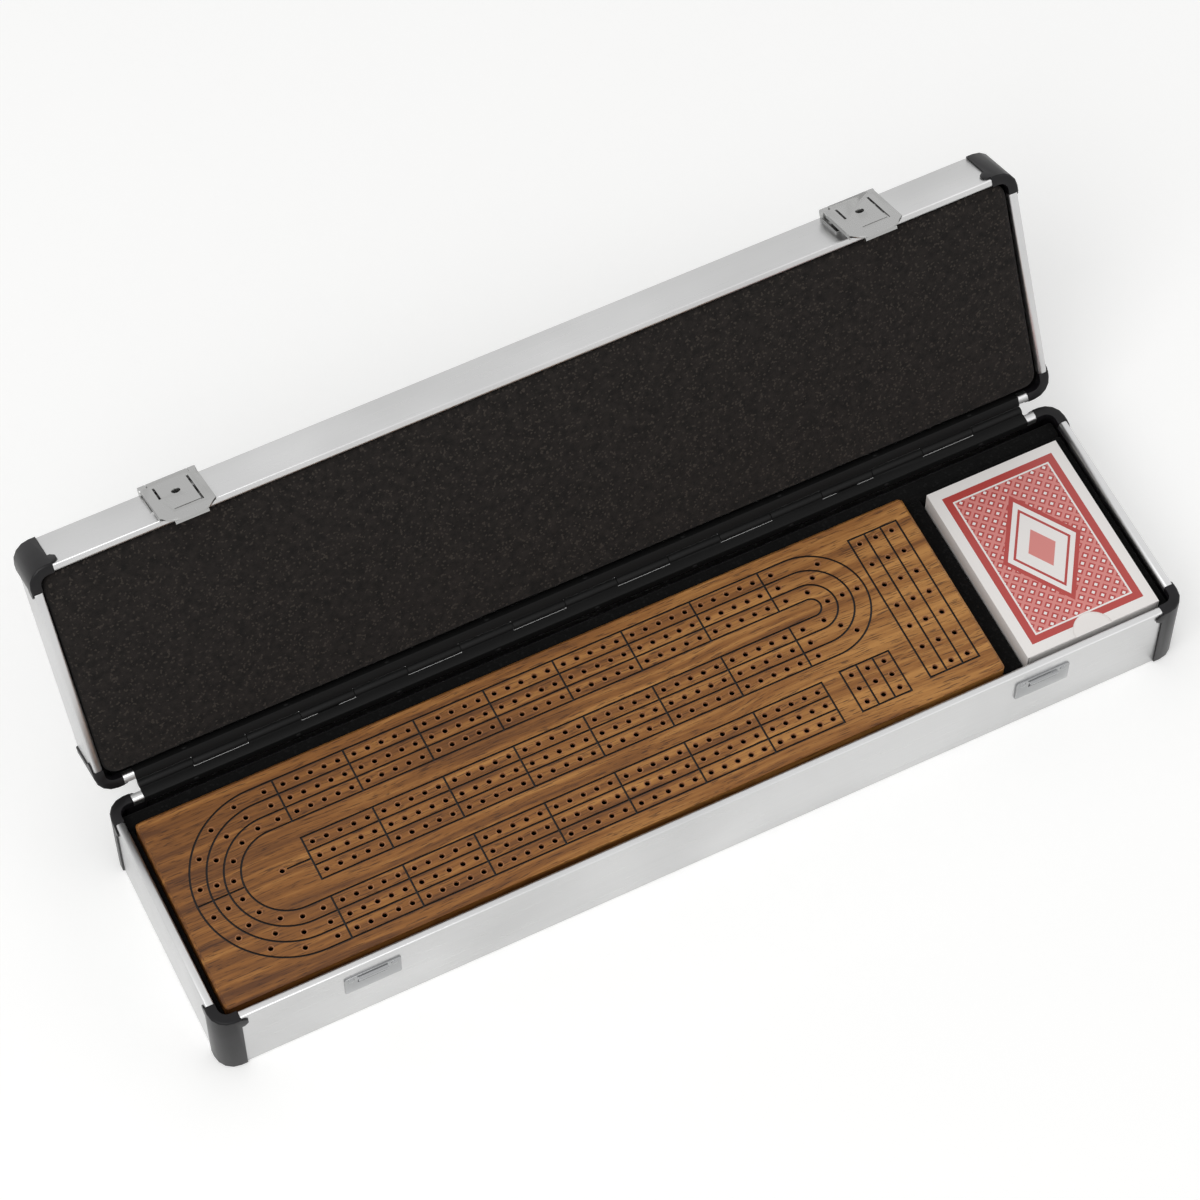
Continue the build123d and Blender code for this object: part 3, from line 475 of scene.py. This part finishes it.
frameLook = {"railBevel": 0.25, "cornerBevel": 0.45, "panelBevel": 0.15}
for body in ("base", "lid"):
    for side in ("front", "rear", "left", "right"):
        finish = railX if side in ("front", "rear") else railY
        dressed(f"{body}_{side}_rail", f"{body}_{side}_rail_satin", finish, body, "case_aluminium",
                frameLook["railBevel"], edgeAngle=50)
    for side in ("front_left", "front_right", "rear_left", "rear_right"):
        dressed(f"{body}_{side}_corner", f"{body}_{side}_corner_moulded", blackAbs, body, "corner_plastic",
                frameLook["cornerBevel"], 3, edgeAngle=32, smoothAngle=50)
for nodeName, body in (("base_bottom_panel", "base"), ("lid_top_panel", "lid")):
    dressed(nodeName, f"{nodeName}_sheet", silverSheet, body, "panel_silver", frameLook["panelBevel"])
print("case frame dressed")


# hinge, latches and keepers

metalLook = {"leafBevel": 0.08, "latchBevel": 0.18, "keeperBevel": 0.15, "pinBevel": 0.1}
for nodeName, ending, body, bevel in (("base_hinge_leaf", "strip", "base", "leafBevel"),
                                      ("lid_hinge_leaf", "strip", "lid", "leafBevel"),
                                      ("hinge_pin", "drawn", "base", "pinBevel")):
    dressed(nodeName, f"{nodeName}_{ending}", hingeBlack, body, "hinge_steel", metalLook[bevel], edgeAngle=60)
for side in ("left", "right"):
    for part, finish, body, slotName, bevel, steps, edgeAngle in (
            ("latch_plate", nickelPlate, "lid", "latch_nickel", "latchBevel", 3, 50),
            ("latch_lever", nickelPlate, f"latch_{side}", "latch_nickel", "latchBevel", 3, 50),
            ("latch_pin", nickelPlate, "lid", "latch_nickel", "pinBevel", 2, 60),
            ("keeper", chromePlate, "base", "keeper_chrome", "keeperBevel", 3, 50)):
        dressed(f"{part}_{side}", f"{part}_{side}_plated", finish, body, slotName, metalLook[bevel], steps,
                edgeAngle)


def islandMiddles(nodeName):
    # the middle of each loose solid of a CAD node
    work = bmesh.new()
    work.from_mesh(nodes[nodeName].data)
    bmesh.ops.remove_doubles(work, verts=work.verts, dist=merging["corner"] * mm)
    left, middles = set(work.verts), []
    while left:
        stack, island = [left.pop()], []
        while stack:
            vert = stack.pop()
            island.append(vert.co.copy())
            for edge in vert.link_edges:
                other = edge.other_vert(vert)
                if other in left:
                    left.discard(other)
                    stack.append(other)
        low = Vector([min(p[i] for p in island) for i in range(3)])
        high = Vector([max(p[i] for p in island) for i in range(3)])
        middles.append((low + high) / 2)
    work.free()
    return sorted(middles, key=lambda p: (round(p.x, 5), round(p.y, 5)))


def nodeTree(name, sizes):
    # an empty Geometry Nodes tree with named inputs for its sizes and its finish
    tree = bpy.data.node_groups.new(name, "GeometryNodeTree")
    tree.interface.new_socket("Geometry", in_out="OUTPUT", socket_type="NodeSocketGeometry")
    for label, kind in {"Geometry": "Geometry", **sizes, "Finish": "Material"}.items():
        tree.interface.new_socket(label, in_out="INPUT", socket_type=f"NodeSocket{kind}")
    return tree, tree.nodes.new("NodeGroupInput").outputs


def realCopies(tree, start, points, shape, **inputs):
    # the end of every tree: a shape on each point, made real and given its finish
    copies = addNode(tree, "GeometryNodeInstanceOnPoints", {"Points": points, "Instance": shape, **inputs})
    real = addNode(tree, "GeometryNodeRealizeInstances", {"Geometry": copies.outputs[0]})
    finished = addNode(tree, "GeometryNodeSetMaterial", {"Geometry": real.outputs[0], "Material": start["Finish"]})
    tree.links.new(finished.outputs[0], tree.nodes.new("NodeGroupOutput").inputs[0])
    return tree


def grown(name, points, tree, values, material, smoothAngle=40):
    # runs a tree on a set of points and keeps the result as a plain mesh
    holder = meshPiece(name, points, [], material)
    modifier = holder.modifiers.new("grow", "NODES")
    modifier.node_group = tree
    sockets = {item.name: item.identifier for item in tree.interface.items_tree if item.in_out == "INPUT"}
    for label, value in {**values, "Finish": material}.items():
        modifier[sockets[label]] = value
    bpy.context.view_layer.update()
    finishMesh(holder, smoothAngle)
    holder.data.materials.clear()  # the tree leaves an empty slot before its own
    holder.data.materials.append(material)
    return holder


rivetLook = {"hingeRadius": 1.3, "hingeHeight": 0.5, "hingeSink": 0.25, "plateRadius": 1.7, "plateHeight": 0.7,
             "plateSink": 0.35, "sides": 14, "rings": 8}


def rivetTree():
    # a domed head set on each point, its axis along a given direction
    tree, start = nodeTree("domed rivets", {"Radius": "Float", "Height": "Float", "Axis": "Vector"})
    ball = addNode(tree, "GeometryNodeMeshUVSphere", {"Segments": rivetLook["sides"],
                                                         "Rings": rivetLook["rings"], "Radius": 1.0})
    size = addNode(tree, "ShaderNodeCombineXYZ", {"X": start["Radius"], "Y": start["Radius"], "Z": start["Height"]})
    turn = addNode(tree, "FunctionNodeAlignRotationToVector", {"Vector": start["Axis"]}, axis="Z")
    return realCopies(tree, start, start["Geometry"], ball.outputs["Mesh"], Rotation=turn.outputs[0],
                      Scale=size.outputs[0])


rivets = rivetTree()
outBase = Vector((0, -1, 0))
outLid = openTurn.to_3x3() @ outBase
for nodeName, body, slotName, finish, outward, kind in (
        ("base_hinge_rivets", "base", "hinge_steel", hingeBlack, outBase, "hinge"),
        ("lid_hinge_rivets", "lid", "hinge_steel", hingeBlack, outLid, "hinge"),
        ("keeper_rivets", "base", "keeper_chrome", chromePlate, outBase, "plate"),
        ("latch_rivets", "lid", "latch_nickel", nickelPlate, outLid, "plate")):
    middles = [p - outward * rivetLook[kind + "Sink"] * mm for p in islandMiddles(nodeName)]
    heads = grown(f"{nodeName}_domed", middles, rivets, {"Radius": rivetLook[kind + "Radius"] * mm, "Axis": outward,
                                                         "Height": rivetLook[kind + "Height"] * mm}, finish)
    place(heads, body, slotName, nodeName)
print("hinge, latches and keepers dressed")


# foam

quarters = ((1, 1), (-1, 1), (-1, -1), (1, -1))


def cornerPoints(middle, reach, radius, steps, quarter):
    # the points round one corner of a rounded rectangle
    sx, sy = quarters[quarter % 4]
    angles = [math.pi / 2 * (quarter + index / steps) for index in range(steps + 1)]
    return [(middle[0] + sx * reach[0] + radius * math.cos(angle),
             middle[1] + sy * reach[1] + radius * math.sin(angle)) for angle in angles]


def foamSlab(name, low, high, look, material, turn=None, smoothAngle=60):
    # a slab from rings of one outline: a flat back, slightly wavy sides, a rounded edge and a soft face
    middle = (low + high) / 2
    hx, hy = (high.x - low.x) / 2, (high.y - low.y) / 2
    corner, edge, step = look["corner"] * mm, look["edge"] * mm, look["step"] * mm
    bend = ((0, 0), (hx - corner, hy - corner), corner, look["cornerSteps"])
    outline = []
    for quarter in range(4):
        outline += cornerPoints(*bend, quarter)
        (x0, y0), (x1, y1) = outline[-1], cornerPoints(*bend, quarter + 1)[0]
        parts = max(1, round(math.dist((x0, y0), (x1, y1)) / step))
        outline += [(x0 + (x1 - x0) * index / parts, y0 + (y1 - y0) * index / parts) for index in range(1, parts)]
    sideSteps = max(2, round((high.z - low.z - edge) / step))
    rings = [(0.0, low.z + (high.z - edge - low.z) * index / sideSteps) for index in range(sideSteps + 1)]
    for index in range(1, look["edgeSteps"] + 1):
        angle = math.pi / 2 * index / look["edgeSteps"]
        rings.append((edge * (1 - math.cos(angle)), high.z - edge + edge * math.sin(angle)))
    depth = min(hx, hy)
    faceSteps = max(2, round((depth - edge) / step))
    rings += [(edge + (depth - edge) * index / faceSteps, high.z) for index in range(1, faceSteps + 1)]
    verts, faces = [], []
    for inset, height in rings:
        for x, y in outline:
            p = Vector((middle.x + x * (hx - inset) / hx, middle.y + y * (hy - inset) / hy, height))
            swell = 1 - (1 - min(1.0, inset / (depth * look["crownReach"]))) ** 2
            lump = noise.noise(p * look["lumpScale"]) * look["lump"] * mm
            fine = noise.noise(p * look["fineScale"] + Vector(look["fineShift"])) * look["fine"] * mm
            if inset > 0:
                p.z += look["crown"] * mm * swell + lump + fine
            if height > low.z:
                p -= Vector((x / hx, y / hy, 0)).normalized() * (abs(lump) + abs(fine))
            verts.append(p)
    count = len(outline)
    for ring in range(len(rings) - 1):
        for index in range(count):
            following = (index + 1) % count
            faces.append((ring * count + index, ring * count + following,
                          (ring + 1) * count + following, (ring + 1) * count + index))
    faces.append(tuple(reversed(range(count))))
    piece = meshPiece(name, verts, faces, material)
    work = bmesh.new()
    work.from_mesh(piece.data)
    work.verts.ensure_lookup_table()
    bmesh.ops.remove_doubles(work, verts=work.verts[(len(rings) - 1) * count:], dist=look["closing"] * mm)
    bmesh.ops.recalc_face_normals(work, faces=work.faces)
    if turn:
        bmesh.ops.transform(work, matrix=turn, verts=work.verts)
    work.to_mesh(piece.data)
    work.free()
    for face in piece.data.polygons:
        face.use_smooth = True
    piece.data.set_sharp_from_angle(angle=math.radians(smoothAngle))
    return piece


padLook = {"low": (-224.2, -53.2, 44.4), "high": (224.2, 52.1, 63.0), "corner": 6.0, "edge": 2.2, "step": 3.2,
           "cornerSteps": 6, "edgeSteps": 4, "crown": 0.7, "crownReach": 0.6, "closing": 0.02, "lump": 0.35,
           "lumpScale": 22.0, "fine": 0.12, "fineScale": 160.0, "fineShift": (3, 1, 7), "fill": 0.9}
closedLow, closedHigh = Vector(padLook["low"]) * mm, Vector(padLook["high"]) * mm  # with the lid shut
padMiddle = (closedLow + closedHigh) / 2
faceDown = Matrix.Translation(padMiddle) @ Matrix.Rotation(math.pi, 4, "X") @ Matrix.Translation(-padMiddle)
pad = foamSlab("lid_pad_foam", closedLow, closedHigh, padLook, padFoam, openTurn @ faceDown)
place(pad, "lid", "pad_foam", "lid_pad")

liningLook = {"corner": 1.0, "edge": 0.8, "thinShare": 0.3, "step": 4.0, "cornerSteps": 3, "edgeSteps": 3,
              "crown": 0.0, "crownReach": 0.6, "closing": 0.02, "lump": 0.12, "lumpScale": 30.0, "fine": 0.05,
              "fineScale": 220.0, "fineShift": (3, 1, 7), "fill": 0.95, "floorShrink": 0.25, "wallShrink": 0.12}
for part in ("floor", "left_strip", "right_strip", "front_strip", "rear_strip", "divider"):
    low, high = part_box(f"lining_{part}")
    shrink = liningLook["floorShrink" if part == "floor" else "wallShrink"]
    thin = min(high.x - low.x, high.y - low.y) / mm * liningLook["thinShare"]
    look = {**liningLook, "corner": min(liningLook["corner"], thin), "edge": min(liningLook["edge"], thin)}
    foam = foamSlab(f"lining_{part}_foam", low, high - Vector((0, 0, shrink * mm)), look, liningFoam)
    place(foam, "base", "black_foam", f"lining_{part}")
print("foam made")


# board

for nodeName, ending, finish, body, slotName, bevel, steps, edgeAngle in (
        ("board_back_layer", "planed", walnutBack, "board", "walnut", 0.3, 2, 42),
        ("peg_cover_guides", "planed", walnutBack, "board", "walnut", 0.1, 1, 42),
        ("peg_cover", "rolled", brassSheet, "peg_cover", "brass", 0.12, 2, 42),
        ("pegs_steel", "turned", turnedSteel, "board", "peg_steel", 0.15, 2, 50),
        ("pegs_brass", "turned", brassTurned, "board", "brass", 0.15, 2, 50),
        ("pegs_black", "turned", blackPegSteel, "board", "peg_black", 0.15, 2, 50)):
    dressed(nodeName, f"{nodeName}_{ending}", finish, body, slotName, bevel, steps, edgeAngle)

boardPlace = {"left": -221.8, "front": -51.4, "top": 41.5, "length": 366.0, "width": 96.0,
              "layer": 11.0, "cornerRound": 2.0, "chamfer": 1.2, "cornerSteps": 5}
track = {"holePitch": 6.35, "groups": 7, "perGroup": 5, "groupPitch": 33.0, "start": 60.3, "lanePitch": 7.2,
         "rowMiddle": 48.0, "rowPitch": 30.4, "bigTurnX": 49.5, "smallTurnX": 304.6, "turnInset": 5.0,
         "bigTurnHoles": 10, "smallTurnHoles": 5, "finishX": 46.9, "gamesX": 338.6, "gamesY": 13.6,
         "gamesColumns": 3, "gamesRows": 7, "gamesPitchX": 7.9, "gamesPitchY": 11.5, "startX": 304.6,
         "startY": 11.6, "startRows": 3, "grooveWidth": 0.9, "grooveDepth": 0.6, "lineEnd": 2.7, "turnSteps": 40,
         "boreRadius": 1.3, "boreDepth": 9.0, "boreSides": 12, "rimInner": 1.2, "rimOuter": 1.6, "rimDepth": 1.2,
         "rimProud": 0.015, "rimSides": 12}
lanes = [-track["lanePitch"], 0.0, track["lanePitch"]]
rows = [track["rowMiddle"] + share * track["rowPitch"] for share in (-1, 0, 1)]
trackEnd = track["start"] + track["groups"] * track["groupPitch"]
# each turn: its middle, its middle lane's radius, the straight before it, the holes in a lane, its way along X
turns = ((track["bigTurnX"], track["rowMiddle"], track["rowPitch"], track["start"] - track["bigTurnX"],
          track["bigTurnHoles"], -1),
         (track["smallTurnX"], track["rowMiddle"] + track["rowPitch"] / 2, track["rowPitch"] / 2,
          track["smallTurnX"] - trackEnd, track["smallTurnHoles"], 1))
# each grid: its first hole, its rows and their pitch
grids = ((track["gamesX"], track["gamesY"], track["gamesRows"], track["gamesPitchY"]),
         (track["startX"], track["startY"], track["startRows"], track["lanePitch"]))


def trackHoles():
    # every peg hole, from the board's near left corner
    t = track
    margin = (t["groupPitch"] - (t["perGroup"] - 1) * t["holePitch"]) / 2
    places = []
    for rowY in rows:
        for group in range(t["groups"]):
            for hole in range(t["perGroup"]):
                x = t["start"] + group * t["groupPitch"] + margin + hole * t["holePitch"]
                places += [(x, rowY + lane) for lane in lanes]
    for middleX, middleY, mean, straight, count, way in turns:
        for lane in lanes:
            radius, run = mean + lane, straight - t["turnInset"]
            step = (2 * run + math.pi * radius) / (count - 1)
            for index in range(count):
                along = index * step - run
                if 0 <= along <= math.pi * radius:
                    x, y = radius * math.sin(along / radius), radius * math.cos(along / radius)
                elif along < 0:
                    x, y = along, radius
                else:
                    x, y = math.pi * radius - along, -radius
                places.append((middleX + way * x, middleY + y))
    for x, y, rowCount, pitchY in grids:
        places += [(x + column * t["gamesPitchX"], y + row * pitchY)
                   for column in range(t["gamesColumns"]) for row in range(rowCount)]
    return places + [(t["finishX"], t["rowMiddle"])]


def lineOutlines():
    # the outline of every routed line, from the board's near left corner
    t, half = track, track["grooveWidth"] / 2
    offsets = [share * t["lanePitch"] for share in (-1.5, -0.5, 0.5, 1.5)]
    lines, outlines = [], []
    for rowY in rows:
        lines += [(t["start"], rowY + offset, trackEnd, rowY + offset) for offset in offsets]
        for group in range(t["groups"] + 1):
            x = t["start"] + group * t["groupPitch"]
            lines.append((x, rowY + offsets[0], x, rowY + offsets[-1]))
    for middleX, middleY, mean, straight, _, way in turns:
        for offset in offsets:
            ring = []
            for radius, indices in ((mean + offset + half, range(t["turnSteps"] + 1)),
                                    (mean + offset - half, range(t["turnSteps"], -1, -1))):
                for index in indices:
                    angle = math.pi * index / t["turnSteps"]
                    ring.append((middleX + way * radius * math.sin(angle), middleY + radius * math.cos(angle)))
            outlines.append(ring)
            near, far = sorted((middleX, middleX - way * straight))
            lines += [(near, middleY + side * (mean + offset), far, middleY + side * (mean + offset))
                      for side in (-1, 1)]
    turnLine = t["bigTurnX"] - t["rowPitch"]
    lines.append((turnLine + offsets[0], t["rowMiddle"], turnLine + offsets[-1], t["rowMiddle"]))
    lines.append((t["finishX"] + t["lineEnd"], t["rowMiddle"], t["start"], t["rowMiddle"]))
    for x, y, rowCount, pitchY in grids:
        left, right = x - t["gamesPitchX"] / 2, x + (t["gamesColumns"] - 0.5) * t["gamesPitchX"]
        near, far = y - t["lanePitch"] / 2, y + (rowCount - 1) * pitchY + t["lanePitch"] / 2
        for column in range(t["gamesColumns"] + 1):
            lines.append((left + column * t["gamesPitchX"], near, left + column * t["gamesPitchX"], far))
        lines += [(left, near, right, near), (left, far, right, far)]
    for x0, y0, x1, y1 in lines:
        outlines.append([(x0 - half, y0 - half), (x1 + half, y0 - half), (x1 + half, y1 + half),
                         (x0 - half, y1 + half)])
    return outlines


def boardSpot(x, y, depth=0.0):
    # a point of the board, from its near left corner and its top
    return Vector((boardPlace["left"] + x, boardPlace["front"] + y, boardPlace["top"] - depth)) * mm


def roundedOutline(inset):
    # the board's outline with round corners, moved inwards
    board = boardPlace
    middle = (board["length"] / 2, board["width"] / 2)
    reach = (middle[0] - board["cornerRound"], middle[1] - board["cornerRound"])
    return [point for quarter in range(4)
            for point in cornerPoints(middle, reach, board["cornerRound"] - inset, board["cornerSteps"], quarter)]


def turnOutwards(piece, work):
    # makes every face point outwards and gives the mesh back to its piece
    bmesh.ops.recalc_face_normals(work, faces=work.faces)
    work.to_mesh(piece.data)
    work.free()


def playingLayer():
    # one flat net of triangles, sunk where it lies in a line or a hole, with walls between the levels
    t, board = track, boardPlace
    shapes = [roundedOutline(board["chamfer"])] + lineOutlines()
    firstHole = len(shapes)
    sides = [2 * math.pi * side / t["boreSides"] for side in range(t["boreSides"])]
    for x, y in trackHoles():
        shapes.append([(x + t["boreRadius"] * math.cos(angle), y + t["boreRadius"] * math.sin(angle))
                       for angle in sides])
    points, loops = [], []
    for shape in shapes:
        turning = sum(a[0] * b[1] - b[0] * a[1] for a, b in zip(shape, shape[1:] + shape[:1]))
        ordered = shape if turning > 0 else shape[::-1]
        loops.append(list(range(len(points), len(points) + len(ordered))))
        points += [Vector(point) for point in ordered]
    insideOnly, nearest, withOrigins = 1, 1e-4, True
    net, _, triangles, origins, _, owners = delaunay_2d_cdt(points, [], loops, insideOnly, nearest, withOrigins)
    work, corners, levels = bmesh.new(), {}, {}

    def corner(index, depth):
        if (index, depth) not in corners:
            corners[index, depth] = work.verts.new(boardSpot(net[index].x, net[index].y, depth))
        return corners[index, depth]

    for triangle, owner in zip(triangles, owners):
        inHole = any(shape >= firstHole for shape in owner)
        inLine = any(0 < shape < firstHole for shape in owner)
        depth = t["boreDepth"] if inHole else t["grooveDepth"] if inLine else 0.0
        work.faces.new([corner(index, depth) for index in triangle])
        for a, b in zip(triangle, [*triangle[1:], triangle[0]]):
            levels.setdefault((min(a, b), max(a, b)), set()).add(depth)
    for (a, b), depths in levels.items():
        if len(depths) == 2:
            high, low = sorted(depths)
            work.faces.new([corner(a, high), corner(b, high), corner(b, low), corner(a, low)])
    found = {source: index for index, sources in enumerate(origins) for source in sources}
    rims = [[corner(found[index], 0.0) for index in loops[0]]]
    for depth in (board["chamfer"], board["layer"]):
        rims.append([work.verts.new(boardSpot(x, y, depth)) for x, y in roundedOutline(0.0)])
    for upper, lower in zip(rims, rims[1:]):
        for index in range(len(upper)):
            following = (index + 1) % len(upper)
            work.faces.new([upper[index], upper[following], lower[following], lower[index]])
    work.faces.new(rims[-1])
    openEdges = sum(1 for edge in work.edges if len(edge.link_faces) != 2)
    piece = meshPiece("board_playing_layer_routed", [], [], walnut)
    turnOutwards(piece, work)
    print("playing layer:", len(piece.data.polygons), "faces,", openEdges, "open edges")
    return piece


place(playingLayer(), "board", "walnut", "board_playing_layer")


def holeTree():
    # a thin ring of wood round the mouth of each hole, with its bore
    tree, start = nodeTree("bored hole mouths", {"Inner Radius": "Float", "Outer Radius": "Float",
                                                 "Depth": "Float", "Proud": "Float"})
    radii = {0: start["Outer Radius"], 1: start["Inner Radius"]}
    span = addNode(tree, "ShaderNodeMath", radii, operation="ADD")
    meanRadius = addNode(tree, "ShaderNodeMath", {0: span.outputs[0], 1: 0.5}, operation="MULTIPLY")
    circle = addNode(tree, "GeometryNodeCurvePrimitiveCircle", {"Resolution": track["rimSides"],
                                                               "Radius": meanRadius.outputs[0]})
    width = addNode(tree, "ShaderNodeMath", radii, operation="SUBTRACT")
    wall = addNode(tree, "GeometryNodeCurvePrimitiveQuadrilateral", {"Width": width.outputs[0],
                                                                     "Height": start["Depth"]})
    ring = addNode(tree, "GeometryNodeCurveToMesh", {"Curve": circle.outputs[0], "Profile Curve": wall.outputs[0],
                                                     "Fill Caps": False})
    half = addNode(tree, "ShaderNodeMath", {0: start["Depth"], 1: -0.5}, operation="MULTIPLY")
    drop = addNode(tree, "ShaderNodeMath", {0: half.outputs[0], 1: start["Proud"]}, operation="ADD")
    shift = addNode(tree, "ShaderNodeCombineXYZ", {"Z": drop.outputs[0]})
    lowered = addNode(tree, "GeometryNodeTransform", {"Geometry": ring.outputs[0], "Translation": shift.outputs[0]})
    return realCopies(tree, start, start["Geometry"], lowered.outputs[0])


holePoints = [boardSpot(x, y) for x, y in trackHoles()]
mouths = grown("peg_hole_mouths", holePoints, holeTree(),
               {"Inner Radius": track["rimInner"] * mm, "Outer Radius": track["rimOuter"] * mm,
                "Depth": track["rimDepth"] * mm, "Proud": track["rimProud"] * mm}, walnutRim, smoothAngle=50)
mouthWork = bmesh.new()
mouthWork.from_mesh(mouths.data)
turnOutwards(mouths, mouthWork)
place(mouths, "board", "walnut")
print("board dressed, holes:", len(holePoints))


# card carton and deck

dressed("card_carton", "card_carton_printed", cartonBoard, "card_box", "carton_board", 0.25, 2, 50)
dressed("card_carton_flap", "card_carton_flap_printed", cartonBoard, "card_box", "carton_board", 0.12, 1, 50)


deck = {"count": 54, "slip": 0.16, "corner": 3.5, "cornerSteps": 4, "gap": 0.015, "margin": 0.25, "weld": 0.01,
        "seed": 11}


def deckTree():
    # cards dropped one on another, each a little out of line
    tree, start = nodeTree("stacked cards", {"Width": "Float", "Length": "Float", "Corner": "Float",
                                             "Thickness": "Float", "Slip": "Float", "Seed": "Int"})
    outline = addNode(tree, "GeometryNodeCurvePrimitiveQuadrilateral", {"Width": start["Width"],
                                                                        "Height": start["Length"]})
    rounded = addNode(tree, "GeometryNodeFilletCurve", {0: outline.outputs[0], "Count": deck["cornerSteps"],
                                                        "Radius": start["Corner"]}, mode="POLY")
    face = addNode(tree, "GeometryNodeFillCurve", {0: rounded.outputs[0]}, mode="NGONS")
    card = addNode(tree, "GeometryNodeExtrudeMesh", {"Mesh": face.outputs[0], "Offset Scale": start["Thickness"]},
                   mode="FACES")
    bottom = addNode(tree, "GeometryNodeFlipFaces", {"Mesh": face.outputs[0]})
    whole = addNode(tree, "GeometryNodeJoinGeometry")
    for half in (card, bottom):
        tree.links.new(half.outputs["Mesh"], whole.inputs[0])
    welded = addNode(tree, "GeometryNodeMergeByDistance", {"Geometry": whole.outputs[0],
                                                           "Distance": deck["weld"] * mm})
    back = addNode(tree, "ShaderNodeMath", {0: start["Slip"], 1: -1.0}, operation="MULTIPLY")
    ends = [addNode(tree, "ShaderNodeCombineXYZ", {"X": reach, "Y": reach}).outputs[0]
            for reach in (back.outputs[0], start["Slip"])]
    slip = addNode(tree, "FunctionNodeRandomValue", {0: ends[0], 1: ends[1], "Seed": start["Seed"]},
                   data_type="FLOAT_VECTOR")
    slipped = addNode(tree, "GeometryNodeSetPosition", {"Geometry": start["Geometry"], "Offset": slip.outputs[0]})
    return realCopies(tree, start, slipped.outputs[0], welded.outputs[0])


deckLow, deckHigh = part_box("card_deck")
cardPitch = (deckHigh.z - deckLow.z) / deck["count"]
deckPoints = [Vector(((deckLow.x + deckHigh.x) / 2, (deckLow.y + deckHigh.y) / 2, deckLow.z + index * cardPitch))
              for index in range(deck["count"])]
cards = grown("card_deck_stacked", deckPoints, deckTree(),
              {"Width": deckHigh.x - deckLow.x - 2 * deck["margin"] * mm,
               "Length": deckHigh.y - deckLow.y - 2 * deck["margin"] * mm, "Corner": deck["corner"] * mm,
               "Thickness": cardPitch - deck["gap"] * mm, "Slip": deck["slip"] * mm, "Seed": deck["seed"]},
              cardStock, smoothAngle=35)
place(cards, "card_box", "card_paper", "card_deck")
print("carton and deck made")


low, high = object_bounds()
